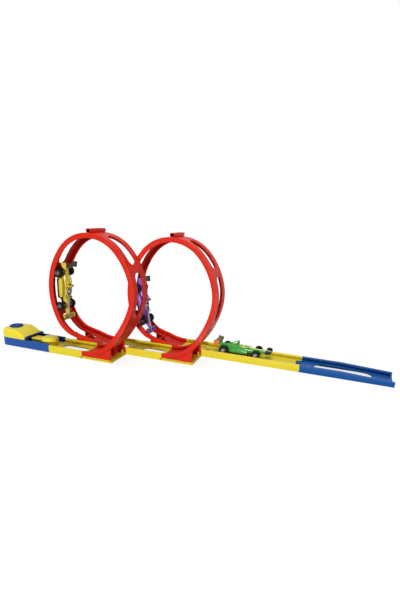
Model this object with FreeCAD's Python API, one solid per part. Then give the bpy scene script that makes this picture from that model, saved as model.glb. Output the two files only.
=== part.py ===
import FreeCAD, Part
import math
import os

from FreeCAD import Placement, Rotation, Vector

# Double-loop stunt track: a spring launcher, two lane-changing loops on snap-together
# base mouldings, a run-out track, an exit ramp and three die-cast-style racing cars.
# +X runs along the track from the launcher to the exit, +Y is away from the front lane
# and +Z is up. The origin is under the first loop, on the table and on lane 1's middle.

# ---------------------------------------------------------------- driving dimensions
LANE_WIDTH = 40.0          # outside width of every channel
LANE_PITCH = 42.0          # sideways step from one lane to the next
LOOP_PITCH = 108.0         # distance between the two loops along the track
WALL = 1.8                 # side wall of a channel
FLOOR = 2.0                # running floor
PLATE = 4.0                # height of the base plates and of the floor's underside
RAIL = 5.5                 # side rail above the running floor
SEAM = 0.15                # gap left at each snap joint

LOOP_HALF_WIDTH = 72.0     # outside of the loop, sideways
LOOP_HALF_HEIGHT = 88.0    # outside of the loop, upwards
LOOP_END_SHARE = 0.861     # tight arcs at the bottom and top, as a share of the half width
RISE_SHIFT = (50.0, 100.0)     # angles where the rising strand leaves its lane
FALL_SHIFT = (298.0, 340.0)    # angles where the falling strand swings into the next lane
RISE_SLOTS = ((72.0, 98.0), (115.0, 150.0))
FALL_SLOTS = ((210.0, 245.0), (258.0, 286.0), (301.0, 334.0))
SLOT_WIDTH = 14.0

START_LANE = 58.0          # channel in front of the first loop
LINK_LANE = 52.0           # channel in front of the second loop
LANDING_LANE = 48.0        # channel behind each loop
RUN_OUT = 144.0            # plain track after the second loop
EXIT_LENGTH = 131.0        # blue ramp at the end
EXIT_FLAT = 58.0           # level part of the ramp
EXIT_DROP = 4.2            # how far the ramp's deck falls

STRAND_LAP = 4.0           # level end of each loop half past the loop's middle
FOOT_REACH = 44.0          # a loop foot's length from the loop's middle
FOOT_WALL = 1.8
FOOT_RIB = 1.5
FOOT_INSET = 0.2           # falling foot's front wall behind the edge of its lane
FOOT_GAP = 0.2             # round the pegs that locate a foot
PEG = 3.0
PEG_HEIGHT = 5.0

TAB_LENGTH = 8.0
TAB_WIDTH = 12.0
TAB_SLIT = 2.2
TAB_GAP = 0.2

FLANGE = 2.0               # upright flange at the top of each loop half
FLANGE_HEIGHT = 4.0
CLIP_WALL = 1.5
CLIP_GAP = 0.1

LAUNCHER_LENGTH = 90.0
LAUNCHER_HEIGHT = 13.0     # blue tray
LAUNCHER_CORNER = 12.0     # rounding of its back corners
HOOD_LENGTH = 46.0
HOOD_HEIGHT = 13.0         # hood above the tray
HOOD_FLAT = 27.0
HOOD_WALL = 1.6
HOOD_ROUND = 2.2           # rounding of the hood's upper edges
HOOD_LIP = 16.0            # height of the hood's sloping front edge
MOUTH_THICK = 2.0
MOUTH_HALF = 13.0
MOUTH_SILL = 14.4
MOUTH_TOP = 17.6

BUTTON_RADIUS = 9.5
BUTTON_PROUD = 2.0
BUTTON_TRAVEL = 2.5
BUTTON_INSET = 14.0        # button centre from the launcher's back
BUTTON_FLANGE = 1.2
STEM_RADIUS = 2.0
RUNNING_GAP = 0.3

LEVER_THICK = 2.4
LEVER_HALF = 4.0
LEVER_PIVOT_INSET = 21.0
LEVER_PIVOT_DROP = 7.5     # pivot below the hood's top
LEVER_REAR = 11.0
LEVER_FRONT = 9.0
LEVER_HUB = 2.6
PIN_RADIUS = 1.0
PIN_FIT = 0.05
EAR_OFFSET = 6.0
EAR_THICK = 2.0
EAR_ABOVE_PIN = 2.6        # what the button leaves of the ears under its cap
SEAR_SPRING_RADIUS = 1.4
SEAR_SPRING_OFFSET = 3.8

STRIKER_NECK_HALF = 7.0
STRIKER_BOTTOM = 1.0       # neck above the floor
STRIKER_TOP = 13.5
STRIKER_HEAD_RADIUS = 12.5
STRIKER_HEAD_TOP = 18.3
STRIKER_TRAVEL = 15.0
STRIKER_REAR_INSET = 26.0
ROD_RADIUS = 1.5
ROD_REACH = 40.0
SPRING_RADIUS = 3.4
SPRING_WIRE = 0.8
SPRING_TURNS = 5

SCREW_RADIUS = 1.2
SCREW_HEAD_RADIUS = 2.2
SCREW_HEAD = 1.3
BOSS_RADIUS = 2.6
BOSS_SIDE = 14.8

CAR_WHEELBASE = 51.0
CAR_LENGTH = 90.0
CAR_REAR_OVERHANG = 16.0
CAR_HALF_TRACK = 16.2      # outside of the wheels
REAR_WHEEL_RADIUS = 7.0
REAR_WHEEL_WIDTH = 6.4
FRONT_WHEEL_RADIUS = 6.6
FRONT_WHEEL_WIDTH = 5.2
AXLE_RADIUS = 1.0
AXLE_FIT = 0.08
HUB_RADIUS = 3.4
TYRE_ROUND = 0.9
CAR_RIDE = 0.2             # tyres above the running floor
CAR_BELLY = 4.6            # underside of the body above the ground
CAR_PLATE = 1.4            # thickness of the underbody plate
CAR_PLATE_GAP = 0.1        # between the plate and the body
NOSE_CLEARANCE = 1.0       # front wing above the curved floor of a loop's side

GREEN_CAR_X = 211.0        # middle of the car's wheelbase along the run-out
YELLOW_CAR_ANGLE = 0.0     # below nine o'clock on the first loop
PURPLE_CAR_ANGLE = 13.0    # below nine o'clock on the second loop
PURPLE_CAR_SIDE = 1.4      # it already leans into the shift of its strand

# ---------------------------------------------------------------- worked-out places
HALF = LANE_WIDTH / 2
INNER_HALF = HALF - WALL
DECK = PLATE + FLOOR
TRACK_TOP = DECK + RAIL
BAND_DEPTH = FLOOR + RAIL
LOOP_PLANE = LANE_PITCH / 2
LOOP_END_RADIUS = LOOP_HALF_WIDTH * LOOP_END_SHARE
LOOP_CENTRE_Z = PLATE + LOOP_HALF_HEIGHT
SIDE_OFFSET = ((LOOP_HALF_HEIGHT - LOOP_END_RADIUS) ** 2
               - (LOOP_HALF_WIDTH - LOOP_END_RADIUS) ** 2) \
    / (2 * (LOOP_HALF_WIDTH - LOOP_END_RADIUS))
SIDE_RADIUS = LOOP_HALF_WIDTH + SIDE_OFFSET
END_OFFSET = LOOP_HALF_HEIGHT - LOOP_END_RADIUS
ARC_CHANGE = math.degrees(math.atan2(SIDE_OFFSET, END_OFFSET))

LAUNCHER_FRONT = -STRAND_LAP - START_LANE - SEAM
LAUNCHER_BACK = LAUNCHER_FRONT - LAUNCHER_LENGTH
HOOD_TOP = LAUNCHER_HEIGHT + HOOD_HEIGHT
HOOD_FRONT = LAUNCHER_BACK + HOOD_LENGTH
BUTTON_X = LAUNCHER_BACK + BUTTON_INSET
PIVOT_X = LAUNCHER_BACK + LEVER_PIVOT_INSET
PIVOT_Z = HOOD_TOP - LEVER_PIVOT_DROP
HEAD_X = LAUNCHER_FRONT - STRIKER_HEAD_RADIUS - 1.0
STRIKER_REAR = LAUNCHER_BACK + STRIKER_REAR_INSET
ROD_Z = DECK + STRIKER_BOTTOM + (STRIKER_TOP - DECK - STRIKER_BOTTOM) / 2
REAR_WALL = LAUNCHER_BACK + WALL

SECOND_LOOP = Vector(LOOP_PITCH, LANE_PITCH, 0)
RUN_OUT_START = LOOP_PITCH + STRAND_LAP + LANDING_LANE + SEAM
EXIT_START = RUN_OUT_START + RUN_OUT + SEAM
LAST_LANE_Y = 2 * LANE_PITCH
UP = Vector(0, 0, 1)
ACROSS = Vector(0, 1, 0)
ALONG = Vector(1, 0, 0)


# ---------------------------------------------------------------- small builders
def box(x0, x1, y0, y1, z0, z1):
    """A block given by its limits."""
    return Part.makeBox(x1 - x0, y1 - y0, z1 - z0, Vector(x0, y0, z0))


def rod(radius, start, end):
    """A round bar from one point to another."""
    way = end - start
    return Part.makeCylinder(radius, way.Length, start, way)


def side_prism(outline, y0, y1):
    """An outline in X and Z, carried from y0 to y1."""
    points = [Vector(x, y0, z) for x, z in outline]
    face = Part.Face(Part.makePolygon(points + points[:1]))
    return face.extrude(Vector(0, y1 - y0, 0))


def cross_prism(outline, x0, x1):
    """An outline in Y and Z, carried from x0 to x1."""
    points = [Vector(x0, y, z) for y, z in outline]
    face = Part.Face(Part.makePolygon(points + points[:1]))
    return face.extrude(Vector(x1 - x0, 0, 0))


def stadium(x0, x1, y, width, z0, z1):
    """An upright slot cutter with round ends."""
    radius = width / 2
    body = box(x0 + radius, x1 - radius, y - radius, y + radius, z0, z1)
    for x in (x0 + radius, x1 - radius):
        body = body.fuse(Part.makeCylinder(radius, z1 - z0, Vector(x, y, z0)))
    return body.removeSplitter()


def fuse_all(shapes):
    """Join shapes that touch into one tidy solid."""
    return shapes[0].multiFuse(shapes[1:]).removeSplitter()


def moved(shape, place):
    """A copy of the shape at a Vector or a Placement."""
    copy = shape.copy()
    if isinstance(place, Vector):
        copy.translate(place)
    else:
        copy.Placement = place.multiply(copy.Placement)
    return copy


def save(name, shape):
    """Write one sub-part."""
    shape.exportStep("parts/" + name + ".step")


# ---------------------------------------------------------------- straight channels
def channel(x0, x1, top=TRACK_TOP):
    """A straight lane: two side walls down to the table and a raised floor."""
    outline = ((-HALF, 0), (-INNER_HALF, 0), (-INNER_HALF, PLATE), (INNER_HALF, PLATE),
               (INNER_HALF, 0), (HALF, 0), (HALF, top), (INNER_HALF, top),
               (INNER_HALF, DECK), (-INNER_HALF, DECK), (-INNER_HALF, top), (-HALF, top))
    return cross_prism(outline, x0, x1)


def tab_pair(x_end, gap=0.0):
    """Two rounded tongues that reach back from x_end, grown by gap for their recess."""
    length = TAB_LENGTH + gap
    side = TAB_SLIT / 2 + TAB_WIDTH / 2
    tabs = []
    for y in (-side, side):
        tab = box(x_end - length, x_end + 1, y - TAB_WIDTH / 2 - gap, y + TAB_WIDTH / 2 + gap,
                  PLATE, DECK)
        corners = [e for e in tab.Edges
                   if abs(e.BoundBox.XMax - (x_end - length)) < 0.01 and e.BoundBox.ZLength > 1]
        tabs.append(tab.makeFillet(4.0, corners))
    return tabs


def with_tabs(body, x_start):
    """Add the two tongues at a lane's upstream end."""
    shapes = [body] + tab_pair(x_start)
    return fuse_all(shapes)


def with_recess(body, x_end):
    """Open a lane's downstream end for the next lane's tongues and the slit between them."""
    for tab in tab_pair(x_end + SEAM, TAB_GAP):
        body = body.cut(tab)
    slit = TAB_SLIT / 2 + TAB_GAP
    return body.cut(box(x_end - TAB_LENGTH, x_end + 1, -slit, slit, PLATE - 1, DECK + 1))


def lane_slot(body, x0, x1):
    """Cut one long window in a lane's floor."""
    return body.cut(stadium(x0, x1, 0, SLOT_WIDTH, PLATE - 1, DECK + 1))


def loop_base(lane_length):
    """One yellow moulding: the lane in, the plates under both feet and the landing lane."""
    x_in = -STRAND_LAP - lane_length
    x_out = STRAND_LAP + LANDING_LANE
    lane_in = channel(x_in, -STRAND_LAP - SEAM)
    lane_in = lane_slot(lane_in, x_in + 12, -STRAND_LAP - 4)
    lane_in = with_tabs(lane_in, x_in)
    lane_out = channel(STRAND_LAP + SEAM, x_out)
    lane_out = lane_slot(lane_out, STRAND_LAP + 9, x_out - 14)
    lane_out = with_recess(lane_out, x_out)
    lane_out.translate(Vector(0, LANE_PITCH, 0))
    under = STRAND_LAP + SEAM + WALL
    front_plate = foot_plate(-under, FOOT_REACH + 1, -HALF, HALF)
    back_plate = foot_plate(-FOOT_REACH - 1, under, LANE_PITCH - HALF, LANE_PITCH + HALF)
    web = box(-FOOT_REACH - 1, FOOT_REACH + 1, HALF - WALL, LANE_PITCH - HALF + WALL, 0,
              PLATE)
    pegs = [peg(Vector(x, y, PLATE)) for x, y in peg_places()]
    return fuse_all([lane_in, lane_out, front_plate, back_plate, web] + pegs)


def foot_plate(x0, x1, y0, y1):
    """A low tray turned upside down: a skin with a skirt and two crossed ribs."""
    skin = box(x0, x1, y0, y1, 0, PLATE)
    x = (x0 + x1) / 2
    y = (y0 + y1) / 2
    for left, right in ((x0 + WALL, x - WALL / 2), (x + WALL / 2, x1 - WALL)):
        for front, back in ((y0 + WALL, y - WALL / 2), (y + WALL / 2, y1 - WALL)):
            skin = skin.cut(box(left, right, front, back, -1, PLATE - FLOOR))
    return skin


def peg_places():
    """Where the locating pegs stand: two inside each foot, near its outer end."""
    inset = FOOT_REACH - PEG
    side = INNER_HALF - FOOT_GAP - PEG / 2
    front = [(inset, -side), (inset, side)]
    wall = foot_wall_lines()
    back = [(-inset, wall[0] + FOOT_WALL + FOOT_GAP + PEG / 2),
            (-inset, wall[1] - FOOT_GAP - PEG / 2)]
    return front + back


def peg(place):
    """A square locating peg with a chamfered top."""
    half = PEG / 2
    body = box(-half, half, -half, half, -0.5, PEG_HEIGHT)
    top = [e for e in body.Edges if e.BoundBox.ZMin > PEG_HEIGHT - 0.01]
    return moved(body.makeChamfer(0.6, top), place)


def run_out_track():
    """The plain yellow track that the cars run out on."""
    x0 = RUN_OUT_START
    body = channel(x0, x0 + RUN_OUT)
    for x in (x0 + 40, x0 + 80, x0 + 120):
        body = body.fuse(box(x, x + WALL, -INNER_HALF, INNER_HALF, 1.0, PLATE))
    body = with_recess(with_tabs(body, x0), x0 + RUN_OUT)
    return moved(body, Vector(0, LAST_LANE_Y, 0))


def exit_ramp():
    """The blue ramp: its deck and rails fall towards a low, slightly hollowed lip."""
    x0 = EXIT_START
    x1 = x0 + EXIT_FLAT
    x2 = x0 + EXIT_LENGTH
    level = channel(x0, x1)
    low_under = PLATE - EXIT_DROP + 1.2
    low_deck = DECK - EXIT_DROP
    low_top = TRACK_TOP - EXIT_DROP + 0.6
    walls = side_prism(((x1, 0), (x2, 0), (x2, low_top), (x1, TRACK_TOP)), -HALF, HALF)
    lane = side_prism(((x1, DECK), (x2, low_deck), (x2 + 1, TRACK_TOP + 1),
                       (x1 - 1, TRACK_TOP + 1), (x1 - 1, DECK)), -INNER_HALF, INNER_HALF)
    under = side_prism(((x1 - 1, -1), (x2 - WALL, -1), (x2 - WALL, low_under),
                        (x1, PLATE), (x1 - 1, PLATE)), -INNER_HALF, INNER_HALF)
    slope = walls.cut(lane).cut(under)
    body = fuse_all([level, slope])
    body = body.cut(stadium(x0 + 12, x2 - 38, 0, SLOT_WIDTH, -2, DECK + 1))
    lip = Part.makeCylinder(LANE_WIDTH, 40, Vector(x2 + LANE_WIDTH - 1.3, 0, -10))
    body = body.cut(lip)
    corners = [e for e in body.Edges if e.BoundBox.XMin > x2 - 4 and e.BoundBox.ZMin > low_deck + 1
               and e.BoundBox.YLength > 1 and e.BoundBox.YLength < 3]
    body = body.makeFillet(2.0, corners)
    return moved(with_tabs(body, x0), Vector(0, LAST_LANE_Y, 0))


# ---------------------------------------------------------------- loop halves
def ease(value, limits):
    """Smooth step from 0 to 1 between two angles."""
    share = min(1.0, max(0.0, (value - limits[0]) / (limits[1] - limits[0])))
    return 0.5 - 0.5 * math.cos(math.pi * share)


def strand_y(angle):
    """Sideways place of the band's middle at an angle round the loop from its bottom."""
    first = LOOP_PLANE * ease(angle, RISE_SHIFT)
    return first + (LANE_PITCH - LOOP_PLANE) * ease(angle, FALL_SHIFT)


def arc_of(angle):
    """Centre (X, Z) and radius of the loop's arc at an angle from the bottom."""
    turn = angle % 360
    if turn < ARC_CHANGE or turn > 360 - ARC_CHANGE:
        return 0.0, LOOP_CENTRE_Z - END_OFFSET, LOOP_END_RADIUS
    if abs(turn - 180) < ARC_CHANGE:
        return 0.0, LOOP_CENTRE_Z + END_OFFSET, LOOP_END_RADIUS
    side = 1 if turn < 180 else -1
    return -side * SIDE_OFFSET, LOOP_CENTRE_Z, SIDE_RADIUS


def band_point(angle, y, depth):
    """A point of the band: y from its middle and depth inwards from its outside."""
    x, z, radius = arc_of(angle)
    turn = math.radians(angle)
    reach = radius - depth
    return Vector(x + reach * math.sin(turn), strand_y(angle) + y, z - reach * math.cos(turn))


BAND_SECTION = ((-HALF, 0), (HALF, 0), (HALF, BAND_DEPTH), (INNER_HALF, BAND_DEPTH),
                (INNER_HALF, FLOOR), (-INNER_HALF, FLOOR), (-INNER_HALF, BAND_DEPTH),
                (-HALF, BAND_DEPTH))


def section_wire(angle, section):
    """The section's outline, standing at an angle round the loop."""
    points = [band_point(angle, y, depth) for y, depth in section]
    return Part.makePolygon(points + points[:1])


def turned_band(start, end, section):
    """A stretch on one arc with no sideways shift: an exact turn of the section."""
    x, z, _ = arc_of((start + end) / 2)
    face = Part.Face(section_wire(start, section))
    return face.revolve(Vector(x, 0, z), ACROSS, -(end - start))


def lofted_band(start, end, section, step=5.0):
    """A stretch that shifts sideways: a smooth loft through closely spaced sections."""
    count = max(2, int(math.ceil((end - start) / step)))
    wires = [section_wire(start + (end - start) * i / count, section)
             for i in range(count + 1)]
    return Part.makeLoft(wires, True, False)


def band(start, end, section):
    """The band between two angles, cut where an arc or a shift begins or ends."""
    marks = [ARC_CHANGE, 180 - ARC_CHANGE, 180 + ARC_CHANGE, 360 - ARC_CHANGE]
    marks += list(RISE_SHIFT) + list(FALL_SHIFT)
    stops = [start] + sorted(m for m in marks if start < m < end) + [end]
    pieces = []
    for low, high in zip(stops, stops[1:]):
        middle = (low + high) / 2
        shifting = any(a < middle < b for a, b in (RISE_SHIFT, FALL_SHIFT))
        build = lofted_band if shifting else turned_band
        pieces.append(build(low, high, section))
    return pieces


def band_slot(start, end):
    """A long window through the band's floor with round ends."""
    half = SLOT_WIDTH / 2
    section = ((-half, -1), (half, -1), (half, FLOOR + 1), (-half, FLOOR + 1))
    shapes = band(start, end, section)
    for angle in (start, end):
        low = band_point(angle, 0, -1)
        high = band_point(angle, 0, FLOOR + 1)
        shapes.append(rod(half, low, high))
    return shapes


def cut_slots(body, slots):
    """Open the floor windows of one loop half."""
    for start, end in slots:
        for piece in band_slot(start, end):
            body = body.cut(piece)
    return body


def foot_wall_lines():
    """Front faces of the falling foot's two long walls, in Y."""
    return LANE_PITCH - HALF + FOOT_INSET, LANE_PITCH + 2.0


def foot_block(x0, x1, y0, y1):
    """A wall of a foot: from the plate up into the floor of the loop's bottom arc."""
    wall = box(x0, x1, y0, y1, PLATE, LOOP_CENTRE_Z - END_OFFSET)
    centre = Vector(0, y0 - 1, LOOP_CENTRE_Z - END_OFFSET)
    reach = LOOP_END_RADIUS - FLOOR / 2
    return wall.cut(Part.makeCylinder(reach, y1 - y0 + 2, centre, ACROSS))


def rising_foot():
    """The hollow foot under the rising strand: two side panels, a middle web and a rib."""
    panels = [foot_block(STRAND_LAP, FOOT_REACH, y, y + FOOT_WALL)
              for y in (-HALF, HALF - FOOT_WALL)]
    web = foot_block(STRAND_LAP, FOOT_REACH - 6, -FOOT_RIB / 2, FOOT_RIB / 2)
    rib_x = FOOT_REACH - 12
    rib = foot_block(rib_x, rib_x + FOOT_RIB, -HALF + 0.5, HALF - 0.5)
    return panels + [web, rib]


def falling_foot():
    """The foot under the falling strand, which crosses above it on its way to the lane."""
    front, back = foot_wall_lines()
    walls = [foot_block(-FOOT_REACH, -STRAND_LAP, y, y + FOOT_WALL) for y in (front, back)]
    far = foot_block(-FOOT_REACH / 2, -STRAND_LAP, LANE_PITCH + HALF - FOOT_WALL,
                     LANE_PITCH + HALF)
    rib_x = -FOOT_REACH + 12
    rib = foot_block(rib_x - FOOT_RIB, rib_x, front + 0.5, back + 0.5)
    return walls + [far, rib]


def flange(side):
    """Half of the upright joint at the loop's top, on the +X (1) or -X (-1) half."""
    top = LOOP_CENTRE_Z + LOOP_HALF_HEIGHT
    near, far = sorted((side * SEAM / 2, side * (SEAM / 2 + FLANGE)))
    return box(near, far, LOOP_PLANE - HALF + 1, LOOP_PLANE + HALF - 1, top - 1,
               top + FLANGE_HEIGHT)


def strand_end(x0, x1, y):
    """The level end of a strand, in line with the yellow lane that it meets."""
    outline = [(y + side, PLATE + depth) for side, depth in BAND_SECTION]
    return cross_prism(outline, x0, x1)


def rising_half():
    """The loop half that takes cars up from its lane."""
    seam_angle = math.degrees(SEAM / 2 / LOOP_END_RADIUS)
    shapes = band(0, 180 - seam_angle, BAND_SECTION)
    shapes.append(strand_end(-STRAND_LAP, 0, 0))
    shapes += rising_foot()
    shapes.append(flange(1))
    return cut_slots(fuse_all(shapes), RISE_SLOTS)


def falling_half():
    """The loop half that brings cars down into the next lane."""
    seam_angle = math.degrees(SEAM / 2 / LOOP_END_RADIUS)
    shapes = band(180 + seam_angle, 360, BAND_SECTION)
    shapes.append(strand_end(0, STRAND_LAP, LANE_PITCH))
    shapes += falling_foot()
    shapes.append(flange(-1))
    return cut_slots(fuse_all(shapes), FALL_SLOTS)


def loop_clip():
    """The channel-shaped clip that holds the two top flanges together."""
    top = LOOP_CENTRE_Z + LOOP_HALF_HEIGHT
    inner = SEAM / 2 + FLANGE + CLIP_GAP
    outer = inner + CLIP_WALL
    cap = top + FLANGE_HEIGHT + CLIP_GAP
    outline = ((-outer, top + 0.6), (-inner, top + 0.6), (-inner, cap), (inner, cap),
               (inner, top + 0.6), (outer, top + 0.6), (outer, cap + CLIP_WALL),
               (-outer, cap + CLIP_WALL))
    body = side_prism(outline, LOOP_PLANE - HALF + 1, LOOP_PLANE + HALF - 1)
    edges = [e for e in body.Edges if e.BoundBox.ZMin > cap + CLIP_WALL - 0.01
             and e.BoundBox.YLength > 1]
    return body.makeFillet(0.6, edges)


# ---------------------------------------------------------------- launcher
def launcher_plan(inset, x_end, z0, z1):
    """The launcher's plan, square in front and rounded behind, inset all round."""
    x0 = LAUNCHER_BACK + inset
    half = HALF - inset
    body = box(x0, x_end, -half, half, z0, z1)
    corners = [e for e in body.Edges if abs(e.BoundBox.XMax - x0) < 0.01
               and e.BoundBox.ZLength > 1]
    return body.makeFillet(LAUNCHER_CORNER - inset, corners)


def boss_places():
    """The four screw columns under the hood."""
    rear = LAUNCHER_BACK + LAUNCHER_CORNER + 1
    front = HOOD_FRONT - BOSS_RADIUS - 2
    return [(x, y) for x in (rear, front) for y in (-BOSS_SIDE, BOSS_SIDE)]


def launcher_base():
    """The blue tray with the striker's slideway, guide ribs and screw holes."""
    body = launcher_plan(0, LAUNCHER_FRONT, 0, LAUNCHER_HEIGHT)
    body = body.cut(launcher_plan(WALL, LAUNCHER_FRONT + 1, DECK, LAUNCHER_HEIGHT + 1))
    body = body.cut(launcher_plan(WALL, LAUNCHER_FRONT - WALL, -1, PLATE))
    guide = STRIKER_NECK_HALF + RUNNING_GAP
    x0 = STRIKER_REAR + 1
    for y in (-guide - WALL, guide):
        body = body.fuse(box(x0, HOOD_FRONT - 1, y, y + WALL, DECK - 1, DECK + 4.5))
    for x, y in boss_places():
        body = body.cut(Part.makeCylinder(SCREW_RADIUS + 0.2, 10, Vector(x, y, PLATE - 1)))
    anchor = box(REAR_WALL - 1, REAR_WALL + 2, -3.0, 3.0, DECK - 1, LAUNCHER_HEIGHT)
    body = body.fuse(anchor)
    body = body.cut(rod(ROD_RADIUS, Vector(REAR_WALL - 0.5, 0, ROD_Z),
                        Vector(REAR_WALL + 3, 0, ROD_Z)))
    return with_recess(body.removeSplitter(), LAUNCHER_FRONT)


def hood_form(inset):
    """The hood's outer form, or its inside when inset: flat top and sloping front."""
    low = LAUNCHER_HEIGHT - (1.0 if inset else 0.0)
    front = HOOD_FRONT + (1.0 if inset else 0.0)
    top = HOOD_TOP - inset
    knee = LAUNCHER_BACK + HOOD_FLAT - inset * 0.3
    slope = (HOOD_TOP - HOOD_LIP) / (HOOD_LENGTH - HOOD_FLAT)
    lip = top - slope * (front - knee)
    outline = ((LAUNCHER_BACK, low), (front, low), (front, lip), (knee, top),
               (LAUNCHER_BACK, top))
    side = side_prism(outline, -HALF, HALF)
    return side.common(launcher_plan(inset, front, low, top))


def launcher_hood():
    """The yellow hood: a rounded shell with the button's hole, screw bosses and ears."""
    outer = hood_form(0)
    rounding = [e for e in outer.Edges if e.BoundBox.ZMin > HOOD_TOP - 0.01
                and e.BoundBox.XMax < LAUNCHER_BACK + HOOD_FLAT - 0.5]
    rounding += [e for e in outer.Edges if e.BoundBox.ZMax > HOOD_TOP - 0.01
                 and e.BoundBox.ZMin > LAUNCHER_HEIGHT + 1 and e.BoundBox.YLength < 0.01
                 and e not in rounding]
    outer = outer.makeFillet(HOOD_ROUND, rounding)
    inner = hood_form(HOOD_WALL)
    shapes = [outer.cut(inner)]
    for x, y in boss_places():
        column = Part.makeCylinder(BOSS_RADIUS, HOOD_TOP - DECK, Vector(x, y, DECK + SEAM))
        shapes.append(column.common(fuse_all([hood_form(HOOD_WALL / 2),
                                              box(LAUNCHER_BACK, HOOD_FRONT, -HALF, HALF,
                                                  DECK, LAUNCHER_HEIGHT)])))
    for y in (-EAR_OFFSET - EAR_THICK, EAR_OFFSET):
        ear = box(PIVOT_X - 3, PIVOT_X + 3, y, y + EAR_THICK, PIVOT_Z - 3, HOOD_TOP - 1)
        shapes.append(ear)
    body = fuse_all(shapes)
    hole = Part.makeCylinder(BUTTON_RADIUS + RUNNING_GAP, 10,
                             Vector(BUTTON_X, 0, HOOD_TOP - 5))
    for y in (-EAR_OFFSET - EAR_THICK - 0.2, EAR_OFFSET - 0.2):
        hole = hole.cut(box(PIVOT_X - 4, PIVOT_X + 4, y, y + EAR_THICK + 0.4, PIVOT_Z - 4,
                            PIVOT_Z + EAR_ABOVE_PIN))
    body = body.cut(hole)
    body = body.cut(rod(PIN_RADIUS, Vector(PIVOT_X, -EAR_OFFSET - EAR_THICK - 1, PIVOT_Z),
                        Vector(PIVOT_X, EAR_OFFSET + EAR_THICK + 1, PIVOT_Z)))
    for x, y in boss_places():
        body = body.cut(Part.makeCylinder(SCREW_RADIUS, 8, Vector(x, y, DECK - 1)))
    return body


def mouth_frame():
    """The dark portal that closes the hood's front and lets the striker's neck through."""
    x0 = HOOD_FRONT + SEAM
    outline = ((-INNER_HALF + 0.1, DECK), (INNER_HALF - 0.1, DECK),
               (INNER_HALF - 0.1, LAUNCHER_HEIGHT + SEAM), (HALF, LAUNCHER_HEIGHT + SEAM),
               (HALF - 2, MOUTH_TOP), (-HALF + 2, MOUTH_TOP), (-HALF, LAUNCHER_HEIGHT + SEAM),
               (-INNER_HALF + 0.1, LAUNCHER_HEIGHT + SEAM))
    body = cross_prism(outline, x0, x0 + MOUTH_THICK)
    return body.cut(box(x0 - 1, x0 + MOUTH_THICK + 1, -MOUTH_HALF, MOUTH_HALF, DECK - 1,
                        MOUTH_SILL))


def launch_button():
    """The round button: a domed cap, a retaining flange and a stem on the lever."""
    ceiling = HOOD_TOP - HOOD_WALL
    flange_top = ceiling - RUNNING_GAP
    flange_low = flange_top - BUTTON_FLANGE
    cap = Part.makeCylinder(BUTTON_RADIUS, HOOD_TOP + BUTTON_PROUD - flange_low,
                            Vector(BUTTON_X, 0, flange_low))
    top = [e for e in cap.Edges if e.BoundBox.ZMin > HOOD_TOP + BUTTON_PROUD - 0.01]
    cap = cap.makeFillet(0.9, top)
    ring = Part.makeCylinder(BUTTON_RADIUS + 1.2, BUTTON_FLANGE,
                             Vector(BUTTON_X, 0, flange_low))
    ring = ring.cut(box(PIVOT_X - 4.5, PIVOT_X + 6, -HALF, HALF, 0, HOOD_TOP))
    cap = cap.cut(box(PIVOT_X - 3.6, PIVOT_X + 6, -HALF, HALF, 0, ceiling + 0.1))
    stem_x = PIVOT_X - LEVER_REAR + STEM_RADIUS - 0.5
    stem = rod(STEM_RADIUS, Vector(stem_x, 0, PIVOT_Z + LEVER_THICK / 2 + RUNNING_GAP),
               Vector(stem_x, 0, flange_top))
    return fuse_all([cap, ring, stem])


def sear_lever():
    """The rocking lever: the button presses its tail and its hook lifts off the striker."""
    half = LEVER_THICK / 2
    hook_x = PIVOT_X + LEVER_FRONT
    hook_low = STRIKER_TOP + RUNNING_GAP
    outline = ((PIVOT_X - LEVER_REAR, PIVOT_Z - half + 0.6), (PIVOT_X, PIVOT_Z - half),
               (hook_x - 2.0, PIVOT_Z - half), (hook_x - 2.0, hook_low + 1.2),
               (hook_x, hook_low), (hook_x, PIVOT_Z + half),
               (PIVOT_X - LEVER_REAR, PIVOT_Z + half))
    arm = side_prism(outline, -LEVER_HALF, LEVER_HALF)
    hub = rod(LEVER_HUB, Vector(PIVOT_X, -LEVER_HALF - 1, PIVOT_Z),
              Vector(PIVOT_X, LEVER_HALF + 1, PIVOT_Z))
    bore = rod(PIN_RADIUS + PIN_FIT, Vector(PIVOT_X, -HALF, PIVOT_Z),
               Vector(PIVOT_X, HALF, PIVOT_Z))
    return fuse_all([arm, hub]).cut(bore)


def sear_pin():
    """The steel pin that the lever rocks on."""
    reach = EAR_OFFSET + EAR_THICK
    return rod(PIN_RADIUS, Vector(PIVOT_X, -reach, PIVOT_Z), Vector(PIVOT_X, reach, PIVOT_Z))


def coil(start, axis, length, radius, wire, turns):
    """A compression spring as a helix of round wire."""
    pitch = (length - wire) / turns
    helix = Part.makeHelix(pitch, length - wire, radius)
    ring = Part.Wire(Part.makeCircle(wire / 2, Vector(radius, 0, 0), Vector(0, 1, 0)))
    body = Part.Wire(helix.Edges).makePipeShell([ring], True, True)
    turn = Rotation(UP, axis)
    lift = turn.multVec(Vector(0, 0, wire / 2))
    return moved(body, Placement(start + lift, turn))


def sear_spring():
    """The small spring that holds the hook down and the button up."""
    low = PIVOT_Z + LEVER_THICK / 2 + 0.1
    high = HOOD_TOP - HOOD_WALL - 0.1
    return coil(Vector(PIVOT_X + SEAR_SPRING_OFFSET, 0, low), UP, high - low,
                SEAR_SPRING_RADIUS, 0.5, 4)


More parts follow.
